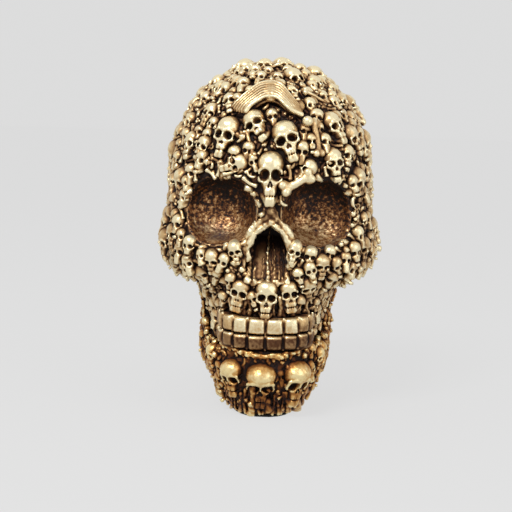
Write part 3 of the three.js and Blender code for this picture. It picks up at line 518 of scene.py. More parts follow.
def meshOf(name, paint, points, faces, shade=None):
    # points in millimetres; a finished piece has its place in its mesh
    fours, threes = faces
    mesh = bpy.data.meshes.new(name)
    loops = np.concatenate([fours.ravel(), threes.ravel()]).astype(np.int32)
    sizes = np.concatenate([np.full(len(fours), 4), np.full(len(threes), 3)]).astype(np.int32)
    starts = np.concatenate([[0], np.cumsum(sizes)[:-1]]).astype(np.int32)
    mesh.vertices.add(len(points))
    mesh.vertices.foreach_set("co", (np.asarray(points, np.float32) * millimetre).ravel())
    mesh.loops.add(len(loops))
    mesh.loops.foreach_set("vertex_index", loops)
    mesh.polygons.add(len(sizes))
    mesh.polygons.foreach_set("loop_start", starts)
    mesh.update(calc_edges=True)
    mesh.validate()
    mesh.materials.append(paints[paint])
    if shade is not None:
        setAttribute(mesh, "shade", "FLOAT", np.asarray(shade, np.float32))
    return mesh


def modelled(name, slot, node, paint, points, faces, shade=None):
    return finished(name, meshOf(name, paint, points, faces, shade), slot, node)


def trianglesOf(mesh):
    mesh.calc_loop_triangles()
    points = np.empty(len(mesh.vertices) * 3, np.float32)
    mesh.vertices.foreach_get("co", points)
    threes = np.empty(len(mesh.loop_triangles) * 3, np.int32)
    mesh.loop_triangles.foreach_get("vertices", threes)
    return points.reshape(-1, 3) / millimetre, threes.reshape(-1, 3)


def solidsNear(some, reach, voxel):
    # the distance to the given pieces
    points, threes, count = [], [], 0
    for piece in some:
        p, t = trianglesOf(piece.data)
        points.append(p)
        threes.append(t + count)
        count += len(p)
    return clayOf(np.concatenate(points), np.concatenate(threes), voxel, reach)


# The bare head and jaw as stacks of level rings (z, half width, front, back, squareness).
def loft(rings, count, top):
    points = []
    for z, halfWidth, front, back, squareness in rings:
        for i in range(count):
            angle = 2 * math.pi * i / count
            c, s = math.cos(angle), math.sin(angle)
            bend = 2 / (squareness if s < 0 else 2)
            reach = front if s < 0 else back
            points.append((halfWidth * math.copysign(abs(c) ** bend, c),
                           reach * math.copysign(abs(s) ** bend, s), z))
    threes = []
    for r in range(len(rings) - 1):
        for i in range(count):
            a, b = r * count + i, r * count + (i + 1) % count
            threes += [(a, b, b + count), (a, b + count, a + count)]
    low = len(points)
    first, last = rings[0], rings[-1]
    points += [(0, (first[3] - first[2]) / 2, first[0]), (0, (last[3] - last[2]) / 2, top)]
    for i in range(count):
        following, lastRing = (i + 1) % count, (len(rings) - 1) * count
        threes += [(low, following, i), (low + 1, lastRing + i, lastRing + following)]
    return np.array(points), np.array(threes)


headRings = [(head["baseLevel"] + z * head["height"], w * head["halfWidth"], f * head["faceReach"],
              b * head["backReach"], s) for z, w, f, b, s in head["rings"]]
headTop = head["baseLevel"] + head["height"]
jawRings = [(head["baseLevel"] + z * jaw["height"], w * jaw["halfWidth"], f * jaw["reach"],
             jaw["back"] + 4, jaw["squareness"]) for z, w, f in jaw["rings"]]
bareHead, bareJaw = [
    BVHTree.FromPolygons(*[a.tolist() for a in loft(rings, head["ringPoints"], top)])
    for rings, top in ((headRings, headTop), (jawRings, jawRings[-1][0]))]


def faceSeat(body, x, z):
    return body.ray_cast(Vector((x, -2 * head["faceReach"], z)), Vector((0, 1, 0)))[:2]


def domeSeat(azimuth, elevation):
    a, e = math.radians(azimuth), math.radians(elevation)
    out = Vector((math.sin(a) * math.cos(e), -math.cos(a) * math.cos(e), math.sin(e)))
    start = Vector((0, brain["setback"], brain["level"])) + out * head["height"]
    return bareHead.ray_cast(start, -out)[:2]


def seatFrame(spot, rise, roll=0, nod=0, turn=0):
    # -Y looks outwards, a little more level than the skin does, and +Z is up
    point, normal = spot
    level = Vector((normal.x, normal.y, 0))
    if level.length < seat["steepest"]:
        level = Vector((0, -1, 0))
    outwards = (normal + level.normalized() * seat["lean"]).normalized()
    across = Vector((0, 0, 1)).cross(outwards).normalized()
    up = outwards.cross(across)
    basis = Matrix((across, -outwards, up)).transposed().to_4x4()
    lean = (Matrix.Rotation(math.radians(-roll), 4, "Y") @ Matrix.Rotation(math.radians(turn), 4, "Z")
            @ Matrix.Rotation(math.radians(nod), 4, "X"))
    return Matrix.Translation(point + normal * rise) @ basis @ lean


def skullFrame(spot, width, roll, nod=0, turn=0):
    return seatFrame(spot, -seat["sink"] * width, roll, nod, turn)


# One little skull of unit width, the middle of its braincase at zero, its face along -Y.
littleSkull = {
    "wide": 0.92, "long": 1.05, "tall": 1, "eye": 1, "drop": 0, "jaw": 1, "back": 0, "brow": 1, "rim": 1,
    "skew": 0, "rear": 0.3, "rough": 0.012, "seed": 1,
    "browRadius": 0.052, "eyeAcross": 0.222, "eyeDown": 0.29, "eyeTilt": 0.28,
}


def littleSkullField(at, how):
    x, y, z = at[0] / how["wide"], at[1], np.where(at[2] < 0, at[2] / how["long"], at[2] / how["tall"])
    y = y - how["back"] * np.clip((-0.1 - z) / 0.3, 0, 1)
    x = x / (1 + (how["jaw"] - 1) * np.clip((-0.5 - z) / 0.16, 0, 1))
    drop, brow, rim = how["drop"], how["browRadius"] * how["brow"], how["rim"]
    side = np.abs(x + 0.02 * how["skew"])
    at, half = [x, y, z], [side, y, z]
    d = ellipsoid(at, (0, 0.04, 0), (0.5, 0.54, 0.44))
    d = blendMin(d, ellipsoid(at, (0, -0.2, -0.01), (0.46, 0.38, 0.37)), 0.12)
    d = blendMax(d, -ellipsoid(half, (0.62, -0.26, -0.3), (0.15, 0.22, 0.18)), 0.08)
    for shape, soft in (
            # brows, the rims of the eyes, cheekbones and the arches behind them
            (capsule(half, (0.04, -0.51, -0.17), (0.25, -0.5, -0.12), brow), 0.07),
            (capsule(half, (0.25, -0.5, -0.12), (0.41, -0.4, -0.2), brow, 0.85 * brow), 0.06),
            (capsule(half, (0.41, -0.4, -0.2), (0.39, -0.4, -0.4), 0.035 * rim), 0.07),
            (capsule(half, (0.39, -0.4, -0.4), (0.2, -0.46, -0.48), 0.045 * rim, 0.05 * rim), 0.09),
            (capsule(half, (0.41, -0.36, -0.4), (0.44, 0.06, -0.33), 0.05, 0.04), 0.05),
            # the middle of the face, the bridge of the nose and the upper teeth
            (ellipsoid(at, (0, -0.24, -0.44), (0.35, 0.25, 0.34)), 0.06),
            (ellipsoid(at, (0, -0.3, -0.52), (0.26, 0.25, 0.29)), 0.08),
            (capsule(at, (0, -0.5, -0.16), (0, -0.565, -0.36), 0.045, 0.05), 0.06),
            (block(at, (0, -0.33, -0.71), (0.2, 0.23, 0.1), 0.08), 0.07)):
        d = blendMin(d, shape, soft)
    # the lower jaw, narrower at the chin
    low = capsule(half, (0.37, 0.02, -0.36), (0.3, -0.06, -0.74 - drop), 0.06, 0.07)
    for shape, soft in (
            (capsule(half, (0.3, -0.06, -0.74 - drop), (0.1, -0.43, -0.96 - drop), 0.08, 0.085), 0.06),
            (capsule(at, (-0.1, -0.43, -0.97 - drop), (0.1, -0.43, -0.97 - drop), 0.085), 0.06),
            (block(at, (0, -0.33, -0.87 - drop), (0.175, 0.21, 0.07), 0.06), 0.06),
            (ellipsoid(at, (0, -0.1, -0.76 - drop), (0.28, 0.22, 0.2)), 0.05)):
        low = blendMin(low, shape, soft)
    d = blendMin(d, low, 0.05)
    # eyes, nose and the hollows of the cheeks
    c, s = math.cos(how["eyeTilt"]), math.sin(how["eyeTilt"])
    ex, ez = side - how["eyeAcross"], z + how["eyeDown"]
    eye = ellipsoid([ex * c - ez * s, y + 0.5, ex * s + ez * c], (0, 0, 0),
                    (0.178 * how["eye"], 0.3, 0.122 * how["eye"]))
    for shape, soft in (
            (eye, 0.05), (capsule(half, (0.055, -0.6, -0.56), (0.015, -0.62, -0.43), 0.058, 0.03), 0.02),
            (capsule(half, (0.05, -0.5, -0.55), (0.01, -0.5, -0.45), 0.05, 0.03), 0.02),
            (ellipsoid(half, (0.32, -0.38, -0.64), (0.08, 0.18, 0.11)), 0.05)):
        d = blendMax(d, -shape, soft)
    # the bite and the gaps between the teeth
    front = np.clip((-y - 0.18) / 0.1, 0, 1)
    bite = np.exp(-((z + 0.8 + drop * 0.5) / (0.014 + drop * 0.4)) ** 2)
    d = d + 0.024 * bite * front * np.clip((0.26 - side) / 0.05, 0, 1)
    gaps = np.clip(np.cos(2 * math.pi * x / 0.094), 0, 1) ** 3 * np.exp(-((z + 0.79) / 0.12) ** 4)
    d = d + 0.028 * gaps * front * np.clip((0.23 - side) / 0.05, 0, 1)
    d = d + how["rough"] * (lumps(at, 0.14, how["seed"]) + 0.5 * lumps(at, 0.06, how["seed"] + 7))
    return blendMax(d, y - how["rear"], 0.05)


def littleSkullSkin(steps, changes):
    how = {**littleSkull, **changes}
    low = (-0.66, -0.76, -1.14 * how["long"] - how["drop"])
    high = (0.66, how["rear"] + how["back"] + 0.12, 0.56)
    voxel = 1 / steps
    axes = [np.arange(math.floor(l / voxel), math.ceil(h / voxel) + 1) * voxel for l, h in zip(low, high)]
    at = [a.astype(np.float32) for a in np.meshgrid(*axes, indexing="ij")]
    start = np.array([a[0] for a in axes], np.float32)
    return Clay(littleSkullField(at, how), start, voxel).skin()


print("little skulls on the face, the jaw and the crown")
# voxels across a skull, about one for each so many millimetres, and its painted face shade when none is given
skullDetail = {"fewest": 20, "most": 34, "voxel": 0.4, "dark": 0.12}
namedSkulls = []
for group in (faceSkulls, jawSkulls, domeSkulls):
    for label, a, b, widthShare, roll, nod, turn, how in group:
        if group is domeSkulls:
            spot = domeSeat(a, b)
        elif group is jawSkulls:
            spot = faceSeat(bareJaw, a * jaw["halfWidth"], head["baseLevel"] + b * jaw["height"])
        else:
            spot = faceSeat(bareHead, a * head["halfWidth"], b * head["height"])
        width = widthShare * seat["largest"]
        place = skullFrame(spot, width, roll, nod, turn)
        namedSkulls.append((label + "_skull", place, width, how, group is jawSkulls))

for index, (name, place, width, how, onJaw) in enumerate(namedSkulls):
    steps = max(skullDetail["fewest"], min(round(width / skullDetail["voxel"]), skullDetail["most"]))
    varied = {"seed": 11 * index + 3, "skew": math.sin(index), "brow": 1 + 0.2 * math.sin(3 * index)}
    points, faces = littleSkullSkin(steps, {**varied, **how})
    # painted shade on the lower face, which lies under the dome
    shade = how.get("dark", skullDetail["dark"]) * np.clip((-0.4 - points[:, 2]) / 0.25, 0, 1)
    modelled("little_" + name, "relief_gold", name, "chin" if onJaw else "relief",
             turned(points * width, place), faces, shade)

print("teeth")


def toothArch(across):
    share = min(abs(across) / teeth["halfWidth"], 1)
    bend = (1 - share ** teeth["squareness"]) ** (1 / teeth["squareness"])
    return teeth["depth"] * (1 - bend) - teeth["reach"]


def archStep(near, far):
    return far - near, toothArch(far) - toothArch(near)


def teethSkin(shares, root, edge, seed):
    clay = emptyClay((-26, -55, min(root, edge) - 2), (26, -26, max(root, edge) + 5), teeth["voxel"])
    tall = abs(edge - root)
    for side in (-1, 1):
        near = 0.0
        for index, share in enumerate(shares):
            width = share * teeth["halfWidth"]
            far = near
            while far < teeth["halfWidth"] and math.hypot(*archStep(near, far)) < width:
                far += teeth["gap"] / 4
            along, back = archStep(near, far)
            turn = side * math.atan2(back, along)
            rise = teeth["bow"] * ((near + far) / 2 / teeth["halfWidth"]) ** 2
            middle = np.array((side * (near + far) / 2, (toothArch(near) + toothArch(far)) / 2,
                               (edge + root) / 2 + rise))
            cut, at = clay.within(middle - 9, middle + 9)
            x, y, z = [a - m for a, m in zip(at, middle)]
            # no two stand quite alike
            turn += 0.05 * math.sin(7 * index + 3 * side + seed)
            tilt = 0.04 * math.sin(5 * index + 2 * side + seed)
            c, s = math.cos(turn), math.sin(turn)
            x, y = x * c + y * s, -x * s + y * c
            x, z = x + tilt * z, z - tilt * x
            # fuller in the middle, narrower at the root, the corners rounded off at the edge
            taper = 1 - 0.12 * np.clip((z * np.sign(root - edge)) / tall + 0.5, 0, 1)
            bulge = 0.8 * (1 - (2 * x / width) ** 2) + 0.5 * (1 - (2 * z / tall) ** 2)
            half = (width / 2 - teeth["gap"] / 2, teeth["thickness"] / 2, tall / 2)
            tooth = block((x / taper, y - half[1] + bulge, z), (0, 0, 0), half, teeth["rounding"])
            clay.press(cut, tooth, 0.12)
            # a thin strand fills the gap on its inner side
            deep = toothArch(near) + 1.0
            rise = teeth["bow"] * (near / teeth["halfWidth"]) ** 2
            foot, tip = (side * near, deep, root + rise), (side * near, deep + 0.2, edge + rise)
            clay.link(foot, tip, 0.6, 0.45, 0.3)
            near = far
    # gum behind the roots
    gumLevel = root + math.copysign(1.25, edge - root)
    for k in range(-20, 21):
        x, following = k * teeth["gumStep"], k * teeth["gumStep"] + teeth["gumStep"]
        rise = gumLevel + 1.2 * (x / teeth["halfWidth"]) ** 2
        clay.link((x, toothArch(x) + 2.6, rise), (following, toothArch(following) + 2.6, rise), 1.5, 1.5, 0.6)
    points, faces = clay.skin()
    return shaken(points, 0.08, 0.9, seed), faces


upperEdge = teeth["bite"] + teeth["biteGap"] / 2
lowerEdge = teeth["bite"] - teeth["biteGap"] / 2
points, faces = teethSkin(teeth["upperShares"], upperEdge + teeth["upperHeight"], upperEdge, 51)
# painted shade: the outermost teeth are darker, and so are the lower teeth towards their roots, below the lit
# biting edge
shade = 0.55 * np.clip((np.abs(points[:, 0]) - 15) / 2, 0, 1)
modelled("upper_tooth_row", "tooth_gold", "upper_teeth", "tooth", points, faces, shade)
points, faces = teethSkin(teeth["lowerShares"], teeth["lowerRoot"], lowerEdge, 61)
bow = teeth["bow"] * (points[:, 0] / teeth["halfWidth"]) ** 2
shade = 0.8 * np.clip((lowerEdge + bow - 0.7 - points[:, 2]) / 0.8, 0, 1)
modelled("lower_tooth_row", "tooth_gold", "lower_teeth", "tooth", points, faces, shade)

print("rib cage and long bones")
ribCage = {
    "x": -0.02, "z": 0.905, "nod": -14, "pairs": 7, "voxel": 0.27,
    # where the highest and the lowest pair start, bend and end: across, forwards and up, for the left
    # side and the right one
    "highest": (((0.5, 4.6, 6.9), (5.2, 4.8, 5.4), (10.8, 3.8, 0.4), (15.6, 1.4, -3.6), (18, -1, -5.6)),
                ((0.5, 4.6, 6.9), (4.6, 4.8, 5), (8.8, 3.9, -0.6), (12.4, 1.8, -4.4), (14.6, -0.6, -7))),
    "lowest": (((0.6, 6.4, -4.4), (3, 6.4, -5), (6, 5.6, -6.8), (9.4, 4.2, -9), (11, 2.4, -10.8)),
               ((0.6, 6.4, -4.4), (3, 6.4, -5.2), (6, 5.4, -7.6), (9.4, 3.8, -10.2), (14.4, 1.4, -11))),
    "radii": (0.5, 0.62, 0.62, 0.45), "edgeRadii": (0.8, 0.65, 0.8, 1.2),
}


def ribCageSkin():
    clay = emptyClay((-21, -11, -14), (19, 5, 13), ribCage["voxel"])
    cut, at = clay.whole()
    # the chest that carries the ribs, smooth at the shoulders and hollow below
    chest = ellipsoid(at, (0, -0.4, -0.6), (10.5, 4.4, 7.6))
    for middle, radii, soft in (
            ((-8.6, 0.8, -3.6), (7.4, 3.2, 5.4), 2.0), ((8.6, 0.8, -3.6), (7.4, 3.2, 5.4), 2.0),
            ((0, -2.4, 4.6), (7.0, 3.1, 4.6), 1.6)):
        chest = blendMin(chest, ellipsoid(at, middle, radii), soft)
    arch = ellipsoid(at, (0, 3, -15.2), (9.6, 14, 11.2))
    clay.field[cut] = blendMax(chest, -arch, 0.5)
    last = 2 * (ribCage["pairs"] - 1)
    for side, high, low in zip((-1, 1), ribCage["highest"], ribCage["lowest"]):
        for i in range(last + 1):
            share = i / last
            corners = np.array(high) * (1 - share) + np.array(low) * share
            line = throughCorners(np.stack([side * corners[:, 0], -corners[:, 1], corners[:, 2]], 1), 6)
            if i % 2:
                # the skin between two ribs lies deeper
                clay.strand(line + (0, 1.05, 0), (0.9, 0.85), 0.2)
            else:
                clay.strand(line, ribCage["edgeRadii" if i == last else "radii"], 0.15)
    # the ribs run together in the middle
    breast = ellipsoid(at, (0, -4.4, -1.2), (3.4, 2.2, 4.6))
    clay.press(cut, blendMax(breast, -arch, 0.5), 1.0)
    return clay.skin()


cageSpot = faceSeat(bareHead, ribCage["x"] * head["halfWidth"], ribCage["z"] * head["height"])
cageFrame = seatFrame(cageSpot, 0, 0, ribCage["nod"], 0)
points, faces = ribCageSkin()
modelled("chest_of_ribs", "relief_gold", "rib_cage", "relief",
         turned(shaken(points, 0.07, 1.1, 70), cageFrame), faces)

longBones = (
    # name, place, length and radius in millimetres, lean, whether it has a round hip ball
    ("forehead_right_bone", 0.4, 0.795, 14, 1.65, 4, True),
    ("brow_right_bone", 0.24, 0.675, 12.04, 2.0, -62, False),
    ("forehead_left_bone", -0.2, 0.775, 10.92, 1.05, 20, False),
    ("crown_right_bone", 0.44, 0.9, 16.8, 1.05, 58, False),
)


def longBoneSkin(length, radius, ball, seed):
    # a shaft with two knuckles at its foot, and two more or a round hip ball at its head; the links
    # say where they start and end, in radii, from the foot or from the head
    half, r = length / 2, radius
    low, high = (-4.6 * r, -4 * r, -half - 3 * r), (4 * r, 3 * r, half + 3.4 * r)
    clay = emptyClay(low, high, max(0.26, r * 0.2))
    shaft = [(0, 0, -half), (0.25 * r, -0.3 * r, -half * 0.3), (0.1 * r, -0.3 * r, half * 0.4), (0, 0, half)]
    clay.strand(shaft, (1.1 * r, 0.8 * r, 0.72 * r, 0.8 * r, 1.1 * r), 0.4 * r, 5)
    knuckles = [(-half, (side * 0.85, 0, 0), (side * 0.9, -0.5, -0.4), 1.1, 1.05, 0.4) for side in (-1, 1)]
    if ball:
        knuckles += [(half, (0, 0, -0.4), (-1.6, -0.5, 0.5), 1, 0.8, 0.4),
                     (half, (-2.1, -0.9, 0.3), (-2.2, -1.0, 0.3), 1.5, 1.5, 0.2),
                     (half, (0.5, 0, 0), (0.7, 0, 0.7), 1.0, 0.9, 0.4)]
    else:
        knuckles += [(half, (side * 0.8, 0, 0), (side * 0.9, -0.4, 0.3), 1.15, 1.0, 0.4) for side in (-1, 1)]
    for level, a, b, startRadius, endRadius, soft in knuckles:
        a, b = [(v[0] * r, v[1] * r, level + v[2] * r) for v in (a, b)]
        clay.link(a, b, startRadius * r, endRadius * r, soft * r)
    points, faces = clay.skin()
    return shaken(points, 0.07, 0.9, seed), faces


boneFrames = []
for index, (name, x, z, length, radius, lean, ball) in enumerate(longBones):
    spot = faceSeat(bareHead, x * head["halfWidth"], z * head["height"])
    place = seatFrame(spot, radius + 0.3, lean)
    boneFrames.append((place, length, radius))
    points, faces = longBoneSkin(length, radius, ball, 90 + 5 * index)
    shade = np.full(len(points), 0.25)
    modelled("long_" + name, "relief_gold", name, "relief", turned(points, place), faces, shade)

print("the head with its eyes and nose")


def socketField(at, side):
    droop = math.radians(side * socket["droop"])
    c, s = math.cos(droop), math.sin(droop)
    x, z = at[0] - side * socket["spacing"] / 2, at[2] - socket["level"]
    radii = [socket[k] for k in ("halfWidth", "depth", "halfHeight")]
    spot = [x * c - z * s, at[1] + head["faceReach"], x * s + z * c]
    square = socket["squareness"]
    near = sum(np.abs(v / r) ** square for v, r in zip(spot, radii)) ** (1 / square)
    return (near - 1) * radii[2]


def noseField(at):
    share = np.clip((at[2] - nose["level"]) / nose["height"], 0, 1)
    t = (1.2 - np.sqrt(1.44 - 0.8 * share)) / 0.4
    width = nose["width"] / 2 * (1 - t * t) + 2.1 * t * t
    outline = np.abs(at[0]) - width
    ends = np.abs(at[2] - nose["level"] - nose["height"] / 2) - nose["height"] / 2
    floor = nose["floor"] + nose["depth"] * np.clip(share / nose["slopeShare"], 0, 1)
    return blendMax(blendMax(outline, ends, 2.0), (at[1] - floor) * 0.85, 1.2)


def toEyes(points):
    return np.minimum(socketField(points.T, -1), socketField(points.T, 1))


core = {
    # voxel of the head and the jaw, and how far from their skin the distance is known
    "voxel": 0.88, "reach": 9,
    # the hole for the plug and its step: radius and height
    "plugSteps": ((11, 3.3), (8, 7.6)),
    # how uneven the skin is between the crowd: height, size and seed of each wave
    "headWaves": ((0.8, 1.9, 31), (0.8, 3.4, 32)), "eyeWaves": ((0.35, 6, 21), (0.2, 1.6, 22)),
}


def waves(at, named):
    return sum(high * lumps(at, size, seed) for high, size, seed in named)


bareClay = clayOf(*loft(throughCorners(headRings, 5), 150, headTop), core["voxel"], core["reach"])
clay = Clay(bareClay.field.copy(), bareClay.start, core["voxel"])
for side in (-1, 1):
    middle = (side * socket["spacing"] / 2, -head["faceReach"], socket["level"])
    cut, at = clay.within([m - 26 for m in middle], [m + 26 for m in middle])
    clay.carve(cut, socketField(at, side) + waves(at, core["eyeWaves"]), 1.0)
cut, at = clay.within((-18, -60, 58), (18, -20, 100))
clay.carve(cut, noseField(at), 1.0)
cut, at = clay.within((-14, -14, -2), (14, 14, 12))
for radius, high in core["plugSteps"]:
    clay.field[cut] = np.maximum(clay.field[cut], -np.maximum(np.hypot(at[0], at[1]) - radius, at[2] - high))
points, faces = clay.skin()
eyes, nostril, rough = toEyes(points), noseField(points.T), waves(points.T, core["headWaves"])
outside = np.clip((points[:, 2] - 3) / 3, 0, 1) * (np.minimum(eyes, nostril) > 1.2)
away = points - np.array((0, brain["setback"], 80))
points = points + away / np.linalg.norm(away, axis=1)[:, None] * (rough * outside)[:, None]
# painted shade: how high in its hollow a spot is, from -1 to 1 in the eyes, and dark at the top of the nose,
# where shade falls
inEye = (points[:, 2] - socket["level"]) / socket["halfHeight"]
inNose = np.clip((points[:, 2] - nose["level"]) / nose["height"] * 1.9 - 0.95, -0.5, 0.9)
inNose = np.maximum(inNose, np.where(points[:, 0] < 0, -0.1 + 0.35 * lumps(points.T, 1.5, 33), -1))
# darker along the lower lip of each eye hollow
nearEdge = np.clip(bareClay.at(points) / 4 + 1, 0, 1)
inEye = inEye - 1.2 * nearEdge * np.clip(inEye, -1, 0)
# painted shade on a ring just outside the eyes, darkest at its top under the brow
rim = 0.95 + 0.6 * np.clip(inEye, -0.1, 1)
shade = np.where(eyes < 1.0, inEye, np.where(nostril < 1.0, inNose, np.where(eyes < 3.5, rim, 0)))
mesh = meshOf("head_core", "cast", points, faces, shade)
mesh.materials.append(paints["hollow"])
fours, threes = faces
hollow = np.concatenate([(eyes < 1.0)[fours].all(axis=1), np.zeros(len(threes), bool)])
mesh.polygons.foreach_set("material_index", hollow.astype(np.int32))
corePiece = finished("head_core", mesh, "cast_gold", "skull_casting")

print("the jaw")


def outlineField(across, up, corners):
    # distance to a closed outline, negative inside
    far = np.full(across.shape, 1e6, np.float32)
    inside = np.zeros(across.shape, bool)
    for (ax, ay), (bx, by) in zip(corners, corners[1:] + corners[:1]):
        ex, ey = bx - ax, by - ay
        t = np.clip(((across - ax) * ex + (up - ay) * ey) / (ex * ex + ey * ey), 0, 1)
        far = np.minimum(far, (across - ax - t * ex) ** 2 + (up - ay - t * ey) ** 2)
        crosses = (ay > up) != (by > up)
        inside ^= crosses & (across < ex * (up - ay) / (ey if ey else 1e-9) + ax)
    return np.sqrt(far) * np.where(inside, -1, 1)


points, threes = loft(throughCorners(jawRings, 5), 120, jawRings[-1][0])
jawClay = clayOf(points, threes, core["voxel"], core["reach"])
at = jawClay.whole()[1]
corners = [(a * jaw["reach"], head["baseLevel"] + u * jaw["height"]) for a, u in jaw["side"]]
jawClay.field = blendMax(jawClay.field, outlineField(-at[1], at[2], corners), 2.0)
headThere = bareClay.at(np.stack([a.ravel() for a in at], 1)).reshape(at[0].shape)
jawClay.field = np.maximum(jawClay.field, -(headThere - 0.3))
points, faces = jawClay.skin()
rough = 0.7 * lumps(points.T, 1.5, 41) + 0.6 * lumps(points.T * np.array([[1], [1], [0.4]]), 2.6, 42)
away = (points - np.array((0, 0, 30))) * np.array((1, 1, 0.2))
off = bareClay.at(points)
rough = rough * np.clip((points[:, 2] - 3) / 3, 0, 1) * np.clip((off - 0.8) / 1.5, 0, 1)
points = points + away / np.linalg.norm(away, axis=1)[:, None] * rough[:, None]
jawPiece = modelled("lower_jaw", "cast_gold", "jaw", "jaw", points, faces)

print("bones of the nose")
noseBones = {
    # place across as a share of the half width, thickness, how high up it reaches and how far it
    # stands out
    "strands": (
        (-0.95, 1.2, 0.8, 0.6), (-0.62, 0.7, 0.35, 0.3), (-0.2, 0.5, 0.45, 0.3), (0.02, 0.7, 0.95, 1.0),
        (0.2, 0.45, 0.7, 0.5), (0.33, 0.5, 0.78, 0.6), (0.47, 0.42, 0.7, 0.5), (0.6, 0.5, 0.72, 0.6),
        (0.74, 0.45, 0.6, 0.5), (0.95, 1.1, 0.8, 0.6)),
    "voxel": 0.34, "armSpread": 44, "armLength": 13,
}


def noseBonesSkin():
    clay = emptyClay((-18, -58, 60), (18, -26, 104), noseBones["voxel"])
    for index, (share, thick, high, proud) in enumerate(noseBones["strands"]):
        line = []
        for t in np.linspace(0, high, 7):
            x = share * (nose["width"] / 2 - 0.9) * (1 - 0.5 * t * t) + 0.3 * math.sin(5 * index + 6 * t)
            floor = nose["floor"] + nose["depth"] * min(t / nose["slopeShare"], 1)
            line.append((x, floor - proud * (1 - 0.4 * t), nose["level"] + t * nose["height"] - 0.8))
        clay.strand(line, (1.4 * thick, thick, 0.9 * thick, 0.5 * thick), 0.4)
    # the shelf under the nose
    shelf = [(x, nose["floor"] - 0.6 + 0.012 * x * x, nose["level"] - 1.6 + 0.4 * math.sin(2 * x))
             for x in np.linspace(-9, 9, 10)]
    clay.strand(shelf, (0.8, 1.2, 0.7, 1.3, 0.8), 0.8)
    # the roof over it, its two arms and the stem up to the brow
    top = np.array((0.6, nose["floor"] - 1.2, nose["level"] + nose["height"] + 0.4))
    splay = math.radians(noseBones["armSpread"])
    for side in (-1, 1):
        end = top + noseBones["armLength"] * np.array((side * math.sin(splay), 0.1, -math.cos(splay)))
        middle = (top + end) / 2 + np.array((side * 0.7, -0.4, 1.1))
        lower = end + np.array((side * 0.4, 0.8, -8.0))
        outer = [top + (side * 1.8, 0.9, 2.6), middle + (side * 2.0, 1.0, 1.4), end + (side * 1.6, 1.2, 1.6)]
        below = [end, (end + lower) / 2 + (side * 0.8, 0, 0), lower]
        clay.strand([top, middle, end], (1.2, 1.35, 1.0, 1.6), 0.5, 6)
        clay.strand(outer, (1.5, 1.1, 1.6, 1.0), 0.6, 6)
        clay.strand(below, (1.6, 0.9, 1.3), 0.5, 5)
    cut, at = clay.within(top - (6, 5, 6), top + (6, 6, 12))
    clay.press(cut, ellipsoid(at, top + (0, 1.2, 3.6), (3.4, 2.6, 5.2)), 1.2)
    stem = [top + (0, 0.4, 5), top + (0.2, 0.6, 8), top + (0, 0.8, 10)]
    clay.strand(stem, (1.7, 1.2, 1.5), 0.8, 4)
    points, faces = clay.skin()
    return shaken(points, 0.42, 1.3, 110), faces


points, faces = noseBonesSkin()
# painted shade darkens the top of the hollow; above it, patches are darker, partly painted shade and partly
# tone
inside = np.abs(points[:, 0]) < 9.5
shade = np.where(inside, np.clip((points[:, 2] - nose["level"]) / nose["height"] * 1.6 - 0.8, -0.3, 0.8), 0)
shade = shade * np.clip((points[:, 1] - nose["floor"]) / 2, 0, 1)
patches = np.clip(0.25 + 0.5 * lumps(points.T, 2.4, 111), 0, 0.6) * (points[:, 2] > nose["level"] + 6)
modelled("nose_bones", "cast_gold", "skull_casting", "cast", points, faces, np.maximum(shade, patches))

print("bones round the mouth and on the chin")
mouthBones = {
    # nodules under the lower teeth: across and up
    "nodules": (
        (-18.6, 35.4), (-16, 34), (-13.2, 33.2), (-9.6, 32.4), (-6.8, 31.3), (-3.8, 31), (-1.4, 30.6),
        (1.2, 30.4), (3.6, 31), (6.4, 30.8), (9.4, 31.8), (12, 32), (14.6, 33), (17.4, 34.4)),
    # upright bones above the upper teeth: across, foot, head and thickness
    "upright": ((-10.9, 49, 57.5, 0.75), (-9.1, 48.4, 56, 0.9), (-7.2, 48.8, 57, 0.7), (3.7, 48.6, 57, 0.75),
                (5.7, 48.4, 58, 0.95), (7.6, 48.8, 56.5, 0.7), (-19, 49.5, 57, 0.9), (17.6, 49.5, 56, 0.9)),
    # columns below the chin skulls
    "columns": (
        (-19, 2.4, 13, 0.8), (-16.6, 2.2, 12, 0.6), (-14.6, 2, 11, 0.7), (-12.4, 2.6, 13, 0.5),
        (-10.2, 2, 12, 0.8), (-8.2, 2.2, 14, 0.7), (-5, 2, 16, 1.5), (-2, 2.2, 11, 0.6),
        (0.2, 2, 10, 0.5), (2.2, 5, 9, 1.5), (4.6, 2, 12, 0.6), (6.6, 2.2, 14, 0.7),
        (8.6, 2, 13, 0.55), (10.6, 2.4, 13, 0.8), (12.6, 2, 12, 0.6), (15, 2.2, 15, 1.9),
        (18, 2.6, 13, 1.5), (20.2, 4, 15, 1.1)),
    # painted shade where the hollows between them fall dark: middle across and up, half width and half height
    "hollows": ((-13, 8, 4.6, 5), (3, 8, 6.4, 5)),
    "voxel": 0.42,
}


def paintedChinShade(points):
    # painted shade: 1 in the shadowed hollows below the chin skulls, 0 well outside them
    dark = np.zeros(len(points))
    for x, z, halfWidth, halfHeight in mouthBones["hollows"]:
        far = np.hypot((points[:, 0] - x) / halfWidth, (points[:, 2] - z) / halfHeight)
        dark = np.maximum(dark, np.clip(2.4 - 1.6 * far, 0, 1))
    return dark * (points[:, 1] < 0)


